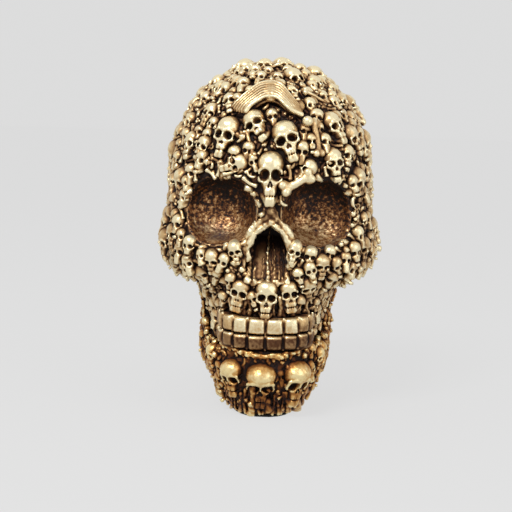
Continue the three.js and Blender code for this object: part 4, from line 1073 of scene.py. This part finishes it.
def bonesOver(body, bones, rise, low, high, seed):
    # upright bones that follow the skin, thicker at their ends
    clay = emptyClay(low, high, mouthBones["voxel"])
    for index, (x, foot, top, thick) in enumerate(bones):
        line = []
        for t in np.linspace(0, 1, 6):
            spot, normal = faceSeat(body, x + 0.5 * math.sin(3 * index + 4 * t), foot + (top - foot) * t)
            if spot:
                line.append(np.array(spot + normal * rise))
        clay.strand(line, (1.35 * thick, thick, 0.8 * thick, 1.3 * thick), 0.4)
    points, faces = clay.skin()
    points = shaken(points, 0.25, 1.3, seed)
    points[:, 2] = np.maximum(points[:, 2], 0.4)
    return points, faces


points, faces = bonesOver(bareHead, mouthBones["upright"], 2.0, (-24, -56, 42), (24, -30, 64), 120)
modelled("lip_bones", "cast_gold", "skull_casting", "cast", points, faces)
points, faces = bonesOver(bareJaw, mouthBones["columns"], 0.7, (-28, -56, -2), (28, -24, 22), 121)
# the columns are a little darker all over, with painted shade in the hollows
modelled("chin_bones", "cast_gold", "jaw", "jaw", points, faces, 0.1 + 0.5 * paintedChinShade(points))
clay = emptyClay((-24, -58, 22), (24, -34, 42), mouthBones["voxel"])
seats = [faceSeat(bareJaw, x, z) for x, z in mouthBones["nodules"]]
spots = [np.array(spot + normal * 0.9) for spot, normal in seats]
for index, (a, b) in enumerate(zip(spots[:-1], spots[1:])):
    thick = 1.25 + 0.3 * math.sin(5 * index)
    reach = 0.9 + 0.5 * math.sin(3 * index)
    right = a + (reach, -0.3, 0.5 * math.sin(2 * index))
    foot = a + (0.5 * math.sin(index), 0.3, -2.4 - 0.8 * math.sin(4 * index))
    clay.link(a, b, 0.95, 0.95, 0.5)
    clay.link(a - (reach, 0, 0.3), right, thick, 0.8 * thick, 0.6)
    clay.link(a, foot, 0.7, 0.8, 0.4)
points, faces = clay.skin()
modelled("gum_nodules", "cast_gold", "jaw", "chin", shaken(points, 0.35, 1.2, 122), faces)
# What repeats over the skin is put there by geometry nodes. A kit is a handful of small shapes.


def kitOf(name, shapes):
    kit = bpy.data.collections.new(name)
    for index, (points, faces) in enumerate(shapes):
        mesh = bpy.data.meshes.new(f"{name}{index}")
        mesh.from_pydata(np.asarray(points).tolist(), [], faces)
        mesh.update()
        kit.objects.link(bpy.data.objects.new(f"{name}{index}", mesh))
    return kit


def forgetKit(kit):
    for shape in list(kit.objects):
        mesh = shape.data
        bpy.data.objects.remove(shape)
        bpy.data.meshes.remove(mesh)
    bpy.data.collections.remove(kit)


def newTree(name, sockets):
    tree = bpy.data.node_groups.new(name, "GeometryNodeTree")
    for label, kind in sockets:
        tree.interface.new_socket(label, in_out="INPUT", socket_type="NodeSocket" + kind)
    tree.interface.new_socket("Crowd", in_out="OUTPUT", socket_type="NodeSocketGeometry")
    return tree, tree.nodes.new("NodeGroupInput").outputs


def named(tree, label, kind):
    node = addNode(tree, "GeometryNodeInputNamedAttribute", {"Name": label}, data_type=kind)
    return node.outputs["Attribute"]


def scaled(tree, vector, factor):
    return addNode(tree, "ShaderNodeVectorMath", {0: vector, "Scale": factor}, operation="SCALE").outputs[0]


def randomOf(tree, given, kind, low, high, salt):
    ends = {"FLOAT": ("Min_001", "Max_001"), "INT": ("Min_002", "Max_002"), "FLOAT_VECTOR": ("Min", "Max")}
    inputs = dict(zip(ends[kind], (low, high)), Seed=worked(tree, "ADD", given["Seed"], salt))
    node = addNode(tree, "FunctionNodeRandomValue", inputs, data_type=kind)
    return next(plug for plug in node.outputs if plug.enabled)


def endOfTree(tree, given, points, index, turn, size):
    kit = addNode(tree, "GeometryNodeCollectionInfo", {
        "Collection": given["Kit"], "Separate Children": True, "Reset Children": True}).outputs[0]
    stood = addNode(tree, "GeometryNodeInstanceOnPoints", {
        "Points": points, "Instance": kit, "Pick Instance": True, "Instance Index": index,
        "Rotation": turn, "Scale": size}).outputs[0]
    real = addNode(tree, "GeometryNodeRealizeInstances", {0: stood}).outputs[0]
    painted = addNode(tree, "GeometryNodeSetMaterial", {"Geometry": real, "Material": given["Paint"]})
    addNode(tree, "NodeGroupOutput", {0: painted.outputs[0]})
    return tree


def placedTree():
    sockets = (("Places", "Geometry"), ("Kit", "Collection"), ("Paint", "Material"))
    tree, given = newTree("crowd at places", sockets)
    turning, size = named(tree, "turning", "FLOAT_VECTOR"), named(tree, "size", "FLOAT")
    turn = addNode(tree, "FunctionNodeEulerToRotation", {0: turning}).outputs[0]
    return endOfTree(tree, given, given["Places"], named(tree, "kind", "INT"), turn, size)


def scatteredTree():
    # deals a kit out over a skin: each shape looks outwards, with its own size and lean
    tree, given = newTree("crowd over skin", (
        ("Skin", "Geometry"), ("Kit", "Collection"), ("Kit Count", "Int"), ("Spacing", "Float"),
        ("Density", "Float"), ("Smallest", "Float"), ("Largest", "Float"), ("Lowest", "Float"),
        ("Highest", "Float"), ("Lean", "Vector"), ("Seed", "Int"), ("Paint", "Material")))
    deal = addNode(tree, "GeometryNodeDistributePointsOnFaces", distribute_method="POISSON")
    for label, source in (
            ("Mesh", given["Skin"]), ("Distance Min", given["Spacing"]), ("Seed", given["Seed"]),
            ("Density Max", given["Density"]), ("Density Factor", named(tree, "room", "FLOAT"))):
        tree.links.new(source, deal.inputs[label])
    rise = randomOf(tree, given, "FLOAT", given["Lowest"], given["Highest"], 11)
    lift = scaled(tree, named(tree, "facing", "FLOAT_VECTOR"), rise)
    lifted = addNode(tree, "GeometryNodeSetPosition", {"Geometry": deal.outputs["Points"], "Offset": lift})
    inwards = scaled(tree, named(tree, "outlook", "FLOAT_VECTOR"), -1)
    stand = addNode(tree, "FunctionNodeAxesToRotation", primary_axis="Y", secondary_axis="Z")
    tree.links.new(inwards, stand.inputs["Primary Axis"])
    stand.inputs["Secondary Axis"].default_value = (0, 0, 1)
    leans = randomOf(tree, given, "FLOAT_VECTOR", scaled(tree, given["Lean"], -1), given["Lean"], 23)
    lean = addNode(tree, "FunctionNodeEulerToRotation", {0: leans}).outputs[0]
    turn = addNode(tree, "FunctionNodeRotateRotation", {"Rotation": stand.outputs[0], "Rotate By": lean},
                   rotation_space="LOCAL").outputs[0]
    last = worked(tree, "SUBTRACT", given["Kit Count"], 1)
    index = randomOf(tree, given, "INT", 0, last, 37)
    size = randomOf(tree, given, "FLOAT", given["Smallest"], given["Largest"], 41)
    return endOfTree(tree, given, lifted.outputs[0], index, turn, size)


placedNodes, scatteredNodes = placedTree(), scatteredTree()


def grown(name, tree, mesh, settings, layers, node):
    # runs a tree on a mesh with the given attributes and keeps the result as a plain piece
    for layer in layers:
        setAttribute(mesh, *layer)
    carrier = newObject("carrier", mesh)
    modifier = carrier.modifiers.new("crowd", "NODES")
    modifier.node_group = tree
    identifiers = {s.name: s.identifier for s in tree.interface.items_tree if s.in_out == "INPUT"}
    for label, value in settings.items():
        modifier[identifiers[label]] = value
    evaluated = carrier.evaluated_get(bpy.context.evaluated_depsgraph_get())
    result = bpy.data.meshes.new_from_object(evaluated)
    for label, _, _ in layers:
        if label in result.attributes:
            result.attributes.remove(result.attributes[label])
    bpy.data.objects.remove(carrier)
    bpy.data.meshes.remove(mesh)
    return finished(name, result, "cast_gold", node)


print("the crowd cast in one with the head")
castCrowd = {
    "places": 800, "step": 180 * (3 - math.sqrt(5)), "roll": 23, "rim": 1.5, "lowest": 0.07, "facing": -0.4,
    # width as a share of the largest, and how near its neighbours may come
    "sizes": ((0.86, 1.2), (0.74, 1.02), (0.6, 0.94)),
    # balls that stand for the room of a skull: back, up and radius as shares of its width
    "room": ((0, 0, 0.5), (-0.12, -0.66, 0.38)),
    # how many different skulls, how many voxels across, and how far each turns and nods, in degrees
    "kinds": 8, "steps": 15, "turn": 9, "nod": 6,
    # where the pieces part, across
    "parts": (("left", -99, -14), ("middle", -14, 14), ("right", 14, 99)),
}


def roomOf(place, width):
    return [(np.array(place @ Vector((0, back * width, up * width))), radius * width)
            for back, up, radius in castCrowd["room"]]


def roomAlong(place, way, halfLength, radius):
    return [(np.array(place @ (Vector(way) * share * halfLength)), radius) for share in (-1, -0.5, 0, 0.5, 1)]


def offLimits(middle, radius):
    # whether a ball would reach over the eyes, the nose or the teeth, or under the cheekbones
    reach, across = radius + castCrowd["rim"], abs(middle[0])
    if middle[2] < head["baseLevel"] + castCrowd["lowest"] * head["height"]:
        return True
    if middle[1] < jaw["back"] + reach and middle[2] < headRings[8][0] + radius:
        return across > teeth["halfWidth"] or middle[2] < upperEdge + teeth["upperHeight"] + reach
    if middle[1] > 0:
        return False
    eye = math.hypot((across - socket["spacing"] / 2) / (socket["halfWidth"] + reach),
                     (middle[2] - socket["level"]) / (socket["halfHeight"] + reach))
    above = middle[2] - nose["level"]
    return eye < 1 or (across < nose["width"] / 2 + reach and -reach < above < nose["height"] + reach)


def crowdPlaces():
    taken = [ball for _, place, width, _, _ in namedSkulls for ball in roomOf(place, width)]
    taken += roomAlong(cageFrame, (1, 0, 0), 8, 8)
    for place, length, radius in boneFrames:
        taken += roomAlong(place, (0, 0, 1), length / 2, 2 * radius)
    count = castCrowd["places"]
    seats = [domeSeat(i * castCrowd["step"], math.degrees(math.asin(1 - (2 * i + 1) / count)))
             for i in range(count)]
    chosen = []
    for widthShare, roomShare in castCrowd["sizes"]:
        width = widthShare * seat["largest"]
        for i, spot in enumerate(seats):
            if spot[1].z < castCrowd["facing"]:
                continue
            place = skullFrame(spot, width, castCrowd["roll"] * math.sin(i))
            room = roomOf(place, width)
            middles, radii = np.array([m for m, _ in taken]), np.array([r for _, r in taken])
            crowded = any((np.linalg.norm(middles - m, axis=1) < roomShare * (radii + r)).any()
                          for m, r in room)
            if crowded or any(offLimits(m, r) for m, r in room):
                continue
            taken += room
            chosen.append((place, width))
    return chosen


def standing(name, kit, crowd):
    mesh = bpy.data.meshes.new("places")
    mesh.from_pydata([tuple(place.translation * millimetre) for place, _, _ in crowd], [], [])
    turning = np.array([place.to_euler() for place, _, _ in crowd], np.float32)
    size = np.array([width * millimetre for _, width, _ in crowd], np.float32)
    kind = np.array([kind for _, _, kind in crowd], np.int32)
    layers = (("turning", "FLOAT_VECTOR", turning), ("size", "FLOAT", size), ("kind", "INT", kind))
    grown(name, placedNodes, mesh, {"Kit": kit, "Paint": paints["relief"]}, layers, "skull_casting")


def skullKit(name, how, varied):
    kinds = []
    for k in range(how["kinds"]):
        points, (fours, threes) = littleSkullSkin(how["steps"], varied(k))
        kinds.append((points, fours.tolist() + threes.tolist()))
    return kitOf(name, kinds)


crowd = crowdPlaces()
print("  skulls in the crowd:", len(crowd))
kit = skullKit("crowdSkull", castCrowd, lambda k: {
    "seed": 400 + k, "eye": 1 + 0.07 * (k % 3), "drop": 0.05 * (k % 2), "wide": 0.86 + 0.03 * (k % 4),
    "long": 1 + 0.05 * (k % 3), "brow": 1 + 0.15 * (k % 2), "rough": 0.016})
# the face of each turns and nods a little, about the middle of its dome
crowd = [(place @ Matrix.Rotation(math.radians(castCrowd["turn"] * math.sin(7 * i)), 4, "Z")
          @ Matrix.Rotation(math.radians(castCrowd["nod"] * math.sin(5 * i)), 4, "X"),
          width, (5 * i) % castCrowd["kinds"]) for i, (place, width) in enumerate(crowd)]
for name, low, high in castCrowd["parts"]:
    standing("crowd_" + name, kit, [spot for spot in crowd if low <= spot[0].translation.x < high])
forgetKit(kit)

# The skin that the smaller things stand on: the bare head and jaw, with the way that each corner looks.


def skinGrid(rings, steps, count):
    rings = throughCorners(rings, steps)
    points = loft(rings, count, rings[-1][0])[0][:len(rings) * count]
    grid = np.arange(len(rings) * count).reshape(len(rings), count)
    right = np.roll(grid, -1, axis=1)
    return points, np.stack([grid[:-1], right[:-1], right[1:], grid[1:]], -1).reshape(-1, 4)


def cornerNormals(points, fours):
    a, b = points[fours[:, 2]] - points[fours[:, 0]], points[fours[:, 3]] - points[fours[:, 1]]
    flat = np.cross(a, b)
    total = np.zeros_like(points)
    for k in range(4):
        np.add.at(total, fours[:, k], flat)
    return total / np.maximum(np.linalg.norm(total, axis=1), 1e-9)[:, None]


# the crown is closed with three smaller rings
crown = headRings[-1]
crownRings = [(crown[0] + (headTop - crown[0]) * t, *[reach * (1 - t) for reach in crown[1:4]], crown[4])
              for t in (0.3, 0.6, 0.93)]
headPoints, headFours = skinGrid(headRings + crownRings, 6, 170)
jawPoints, jawFours = skinGrid(jawRings, 6, 110)
skinPoints = np.concatenate([headPoints, jawPoints])
skinFours = np.concatenate([headFours, jawFours + len(headPoints)])
ofHead = np.arange(len(skinPoints)) < len(headPoints)
skinNormals = cornerNormals(skinPoints, skinFours)
levelled = skinNormals * np.array((1, 1, 0))
levelled /= np.maximum(np.linalg.norm(levelled, axis=1), 0.05)[:, None]
skinOutlook = skinNormals + seat["lean"] * levelled
skinOutlook /= np.linalg.norm(skinOutlook, axis=1)[:, None]
inJaw, inHead = jawClay.at(skinPoints), bareClay.at(skinPoints)
buried = np.where(ofHead, inJaw < -0.6, (inHead < 0.6) | (inJaw > 1.0))

# rounded blocks that stand for the mouth and for the teeth with their gums: middle, half size, rounding
mouthBlock, gumBlock = ((0, -44, 38.2), (18.5, 14, 9.7), 3), ((0, -44, 40.7), (18.5, 14, 7.2), 3)
eyes, nostril, mouth = toEyes(skinPoints), noseField(skinPoints.T), block(skinPoints.T, *mouthBlock)
around = np.degrees(np.arctan2(skinPoints[:, 0], -skinPoints[:, 1]))
# pieces that stay small enough: name, where, and the solid that they belong to
parts = (
    ("face", ofHead & (np.abs(around) < 55), "skull_casting"),
    ("left", ofHead & (around <= -55) & (around > -125), "skull_casting"),
    ("right", ofHead & (around >= 55) & (around < 125), "skull_casting"),
    ("back", ofHead & (np.abs(around) >= 125), "skull_casting"),
    ("jaw", ~ofHead, "jaw"),
)


def scattered(name, kit, room, how, outlook, node):
    mesh = bpy.data.meshes.new("skin")
    sunk = skinPoints + np.where(ofHead, 0, how["jawLift"])[:, None] * skinNormals
    mesh.from_pydata((sunk * millimetre).tolist(), [], skinFours.tolist())
    settings = {
        "Kit": kit, "Kit Count": len(kit.objects), "Density": how["density"] / millimetre ** 2,
        "Lean": [math.radians(v) for v in how["lean"]], "Seed": how["seed"],
        "Paint": paints["jaw" if node == "jaw" else how["paint"]],
    }
    lengths = (how["spacing"], *how["size"], *how["lift"])
    for label, length in zip(("Spacing", "Smallest", "Largest", "Lowest", "Highest"), lengths):
        settings[label] = length * millimetre
    layers = [("room", "FLOAT", room.astype(np.float32))]
    for label, vectors in (("facing", skinNormals), ("outlook", outlook)):
        layers.append((label, "FLOAT_VECTOR", vectors.astype(np.float32)))
    return grown(name, scatteredNodes, mesh, settings, layers, node)


print("smaller skulls between them")
smallCrowd = {
    "spacing": 5.6, "density": 0.16, "size": (6.0, 8.0), "lift": (-0.8, 0.2), "lean": (10, 24, 18),
    "seed": 5, "paint": "relief", "kinds": 6, "steps": 8,
    # how far they stay from what there is, in millimetres, and how far down a face hangs
    "clearOfSkulls": 0.7, "clearOfEyes": 1.8, "clearOfNose": 2.0, "clearOfTeeth": 1.5, "lowest": 9,
    "hangs": 5,
    # how much deeper everything sits on the jaw
    "jawLift": -1.8,
}
skulls = [piece for piece in pieces if piece not in (corePiece, jawPiece)]
known = solidsNear(skulls, 9, 1.0)
ends = known.start + 1, known.start + np.array(known.field.shape) - 2
within = np.all((skinPoints > ends[0]) & (skinPoints < ends[1]), axis=1)
toSkulls = np.where(within, known.at(skinPoints), 9)
hanging = skinPoints - np.array((0, 0, smallCrowd["hangs"]))
room = (~buried & (skinPoints[:, 2] > smallCrowd["lowest"]) & (toSkulls > smallCrowd["clearOfSkulls"])
        & (np.minimum(eyes, toEyes(hanging)) > smallCrowd["clearOfEyes"])
        & (np.minimum(nostril, noseField(hanging.T)) > smallCrowd["clearOfNose"])
        & (np.minimum(mouth, block(hanging.T, *mouthBlock)) > smallCrowd["clearOfTeeth"]))
kit = skullKit("smallSkull", smallCrowd, lambda k: {
    "seed": 200 + k, "eye": 1.15 + 0.06 * (k % 3), "drop": 0.05 * (k % 2), "rear": 0.06, "brow": 1.2,
    "wide": 0.86 + 0.04 * (k % 3), "rough": 0.02})
smalls = [scattered("small_skulls_" + name, kit, room & part, smallCrowd, skinOutlook, node)
          for name, part, node in parts]
forgetKit(kit)

print("rubble: knuckles, short bones, ribs, vertebrae and lumps")
rubble = {
    "bones": {
        "spacing": 3.0, "density": 0.5, "size": (1.9, 2.6), "lift": (0.3, 1.5), "lean": (14, 180, 14),
        "seed": 14, "jawLift": -1.0, "paint": "rubble",
    },
    "lumps": {
        "spacing": 2.4, "density": 0.6, "size": (3.2, 5.0), "lift": (-1.3, -0.1), "lean": (50, 180, 50),
        "seed": 9, "jawLift": -1.0, "paint": "rubble",
    },
    # how far they stay from what there is; a lump may reach a little into a skull's flank
    "clearOfEyes": 1.6, "clearOfNose": 1.4, "clearOfTeeth": 0.6, "clearOfSkulls": 0.5, "lowest": 3.4,
    "lumpReach": -0.3,
    # no loose bones at the outline of the cheekbones: how far out and how high up
    "widest": 44, "cheeks": (58, 94),
}


def ringTube(line, radii, sides, flat=1.0):
    # a low tube round a line, closed at both ends
    line = np.array(line, float)
    points, faces = [], []
    for i, p in enumerate(line):
        along = line[min(i + 1, len(line) - 1)] - line[max(i - 1, 0)]
        along /= np.linalg.norm(along)
        side = np.cross(along, (0.0, 1.0, 0.0))
        side /= max(np.linalg.norm(side), 1e-6)
        up = np.cross(side, along)
        for k in range(sides):
            a = 2 * math.pi * k / sides
            points.append(p + radii[i] * (math.cos(a) * side + flat * math.sin(a) * up))
    for i in range(len(line) - 1):
        for k in range(sides):
            a, b = i * sides + k, i * sides + (k + 1) % sides
            faces.append((a, b, b + sides, a + sides))
    faces.append(tuple(range(sides))[::-1])
    faces.append(tuple((len(line) - 1) * sides + k for k in range(sides)))
    return points, faces


def lump(seed, stretch):
    # a low lump with a soft random outline
    rings = [(-0.5, 0.06), (-0.42, 0.26), (-0.16, 0.45), (0.12, 0.48), (0.4, 0.28), (0.5, 0.06)]
    points, faces = ringTube([(0, 0, z) for z, _ in rings], [r for _, r in rings], 7)
    points = np.array(points) * np.array(stretch)
    return points + 0.08 * np.random.default_rng(seed).uniform(-1, 1, points.shape), faces


def merged(*shapes):
    points, faces = [], []
    for p, f in shapes:
        faces += [tuple(i + len(points) for i in face) for face in f]
        points += [tuple(v) for v in p]
    return points, faces


def shifted(shape, by, size=1.0):
    return [tuple(size * np.array(p) + np.array(by)) for p in shape[0]], shape[1]


def knuckle(seed):
    return merged(shifted(lump(seed, (0.9, 0.9, 0.9)), (-0.27, 0, 0.1), 0.95),
                  shifted(lump(seed + 1, (0.9, 1, 0.9)), (0.29, 0, 0.1), 0.9),
                  ringTube([(0, 0, -0.95), (0, 0, -0.2)], (0.3, 0.38), 6))


def shortBone(length, bend):
    half = length / 2
    spots = [
        (0, 0, -half), (0, 0, -half + 0.14), (0, 0, -half + 0.42), (bend * 0.7, 0, -half * 0.4),
        (bend, 0, 0), (bend * 0.7, 0, half * 0.4), (0, 0, half - 0.42), (0, 0, half - 0.14),
        (0, 0, half)]
    return ringTube(spots, (0.18, 0.52, 0.48, 0.35, 0.33, 0.35, 0.48, 0.52, 0.18), 6)


def shortRib(curl):
    angles = np.linspace(-curl, curl, 8)
    return ringTube([(math.sin(a) * 1.2, 0, math.cos(a) * 1.2 - 0.8) for a in angles],
                    (0.16, 0.3, 0.32, 0.32, 0.32, 0.32, 0.28, 0.14), 6, 1.3)


def vertebra():
    angles = np.linspace(0, 2 * math.pi, 9)
    ring = ringTube([(math.cos(a) * 0.4, 0, math.sin(a) * 0.4) for a in angles], (0.26,) * 9, 6)
    spikes = [ringTube([(0.4 * x, -0.05, 0.4 * z), (x, -0.15, z)], (0.24, 0.12), 5)
              for x, z in ((0.85, 0.3), (-0.85, 0.3), (0, 0.95))]
    return merged(ring, *spikes)


known = solidsNear(skulls + smalls, 6, 0.8)
toSkulls, lifted = known.at(skinPoints), known.at(skinPoints + 1.2 * skinNormals)
openSkin = ((eyes > rubble["clearOfEyes"]) & (nostril > rubble["clearOfNose"])
            & ~buried & (skinPoints[:, 2] > rubble["lowest"]))
across, up = np.abs(skinPoints[:, 0]), skinPoints[:, 2]
cheekEdge = (across > rubble["widest"]) & (up > rubble["cheeks"][0]) & (up < rubble["cheeks"][1])
roomForBones = (openSkin & ~cheekEdge & (mouth > rubble["clearOfTeeth"])
                & (toSkulls > rubble["clearOfSkulls"]))
roomForLumps = (openSkin & (block(skinPoints.T, *gumBlock) > rubble["clearOfTeeth"])
                & (lifted > rubble["lumpReach"]))
boneKit = kitOf("bone", [
    shortBone(3.0, 0.16), shortBone(2.4, -0.12), shortRib(1.2), shortRib(0.8), vertebra(), knuckle(25),
    shortBone(3.4, 0.24), knuckle(45)])
lumpKit = kitOf("lump", [
    lump(1, (1, 0.8, 1)), lump(2, (0.8, 0.8, 1.5)), lump(3, (1.3, 0.7, 0.8)), knuckle(5),
    lump(4, (1.1, 0.9, 1.1)), lump(6, (0.7, 0.8, 1.7))])
for name, part, node in parts:
    for kind, kit, room in (("bones", boneKit, roomForBones), ("lumps", lumpKit, roomForLumps)):
        scattered(f"{name}_{kind}", kit, room & part, rubble[kind], skinNormals, node)
forgetKit(boneKit)
forgetKit(lumpKit)

print("how deep each spot lies between its neighbours")
# voxel, the margin round the pieces in voxels, how far from them the distance is known, and how many
# voxels each blur reaches
depth = {"voxel": 0.5, "margin": 8, "reach": 1.5, "nearBlur": 1, "wideBlur": 3}


def boxBlur(field, width):
    # a moving average along all three ways, three times over, close to a soft round blur
    for _ in range(3):
        for axis in range(3):
            total = np.cumsum(field, axis=axis, dtype=np.float32)
            total = np.concatenate([np.zeros_like(np.take(total, [0], axis)), total], axis=axis)
            count = field.shape[axis]
            low = np.clip(np.arange(count) - width, 0, count)
            high = np.clip(np.arange(count) + width + 1, 0, count)
            field = (np.take(total, high, axis) - np.take(total, low, axis)) / (2 * width + 1)
    return field


# the blurred depths darken the paint between neighbours: partly the real dark wash, partly painted shade
solid = solidsNear(pieces, depth["reach"], depth["voxel"])
filled = np.pad(solid.field, depth["margin"], constant_values=depth["reach"])
filled = np.clip(0.5 - filled / depth["voxel"], 0, 1)
start = solid.start - depth["margin"] * depth["voxel"]
depths = (("near", Clay(boxBlur(filled, depth["nearBlur"]), start, depth["voxel"])),
          ("wide", Clay(boxBlur(filled[::2, ::2, ::2], depth["wideBlur"]), start, 2 * depth["voxel"])))
for piece in pieces:
    points, _ = trianglesOf(piece.data)
    for label, blurred in depths:
        setAttribute(piece.data, label, "FLOAT", blurred.at(points))

print("floor, backdrop, light and camera")
studio = {
    # what the camera sees far off, how much of it the floor gives by itself, and its own colour
    "backdrop": 0.72, "glow": 0.655, "floorColor": 0.1, "worldStrength": 0.58,
    # a wide round floor, its radius in metres and its corners
    "floorRadius": 20, "floorCorners": 64,
    # name, place, aim, size and power of each lamp, in metres and watts
    "lamps": (("key", (-0.35, -0.75, 0.85), (0, 0, 0.1), 0.4, 7.0),
              ("fill", (0.7, -0.6, 0.35), (0, 0, 0.09), 0.6, 1.6)),
}
camera = {
    "aim": (0, -50, 85), "distance": 600, "pitch": 5, "roll": 1.8, "lens": 91.8, "sensor": 36,
    "nearest": 0.01, "shift": (-0.0241, -0.0334),
}


def sceneCamera():
    data = bpy.data.cameras.new("camera")
    data.lens, data.sensor_width, data.clip_start = camera["lens"], camera["sensor"], camera["nearest"]
    data.shift_x, data.shift_y = camera["shift"]
    eye = newObject("camera", data)
    pitch, roll = math.radians(camera["pitch"]), math.radians(camera["roll"])
    back = Vector((0, -math.cos(pitch), math.sin(pitch)))
    across = Vector((1, 0, 0))
    right = across * math.cos(roll) + back.cross(across) * math.sin(roll)
    turn = Matrix((right, back.cross(right), back)).transposed().to_4x4()
    place = Vector(camera["aim"]) + back * camera["distance"]
    eye.matrix_world = Matrix.Translation(place * millimetre) @ turn
    bpy.context.scene.camera = eye


def areaLight(name, place, aim, size, power):
    data = bpy.data.lights.new(name, "AREA")
    data.energy, data.size = power, size
    lamp = newObject(name, data)
    lamp.location = place
    lamp.rotation_euler = (Vector(aim) - Vector(place)).to_track_quat("-Z", "Y").to_euler()


def seenDirectly(tree):
    # 1 for what the camera or a reflection sees
    path = addNode(tree, "ShaderNodeLightPath").outputs
    seen = worked(tree, "MAXIMUM", path["Is Camera Ray"], path["Is Glossy Ray"])
    return worked(tree, "MAXIMUM", seen, path["Is Transmission Ray"])


def floorPaint():
    # pale by itself, and still takes the shadow
    material = bpy.data.materials.new("paleFloor")
    material.use_nodes = True
    tree = material.node_tree
    tree.nodes.clear()
    dull = addNode(tree, "ShaderNodeBsdfDiffuse", {"Color": (studio["floorColor"],) * 3 + (1,)})
    glow = addNode(tree, "ShaderNodeEmission", {
        "Color": (studio["glow"],) * 3 + (1,), "Strength": seenDirectly(tree)})
    both = addNode(tree, "ShaderNodeAddShader", {0: dull.outputs[0], 1: glow.outputs[0]})
    addNode(tree, "ShaderNodeOutputMaterial", {"Surface": both.outputs[0]})
    return material


def paleFloor():
    # a wide round floor that ends in the same pale grey as the world behind it
    reach, count = studio["floorRadius"], studio["floorCorners"]
    angles = np.linspace(0, 2 * math.pi, count, endpoint=False)
    corners = [(reach * math.cos(a), reach * math.sin(a), 0) for a in angles]
    mesh = bpy.data.meshes.new("floor")
    mesh.from_pydata(corners, [], [tuple(range(count))])
    mesh.materials.append(floorPaint())
    floor = newObject("floor", mesh)


def paleWorld():
    world = bpy.data.worlds.new("studio")
    world.use_nodes = True
    tree = world.node_tree
    background = tree.nodes["Background"]
    background.inputs["Color"].default_value = (1, 1, 1, 1)
    strength = spread(tree, seenDirectly(tree), 0, 1, studio["worldStrength"], studio["backdrop"])
    tree.links.new(strength, background.inputs["Strength"])
    bpy.context.scene.world = world


sceneCamera()
paleFloor()
paleWorld()
for lamp in studio["lamps"]:
    areaLight(*lamp)
bpy.context.scene.view_settings.view_transform = "Standard"
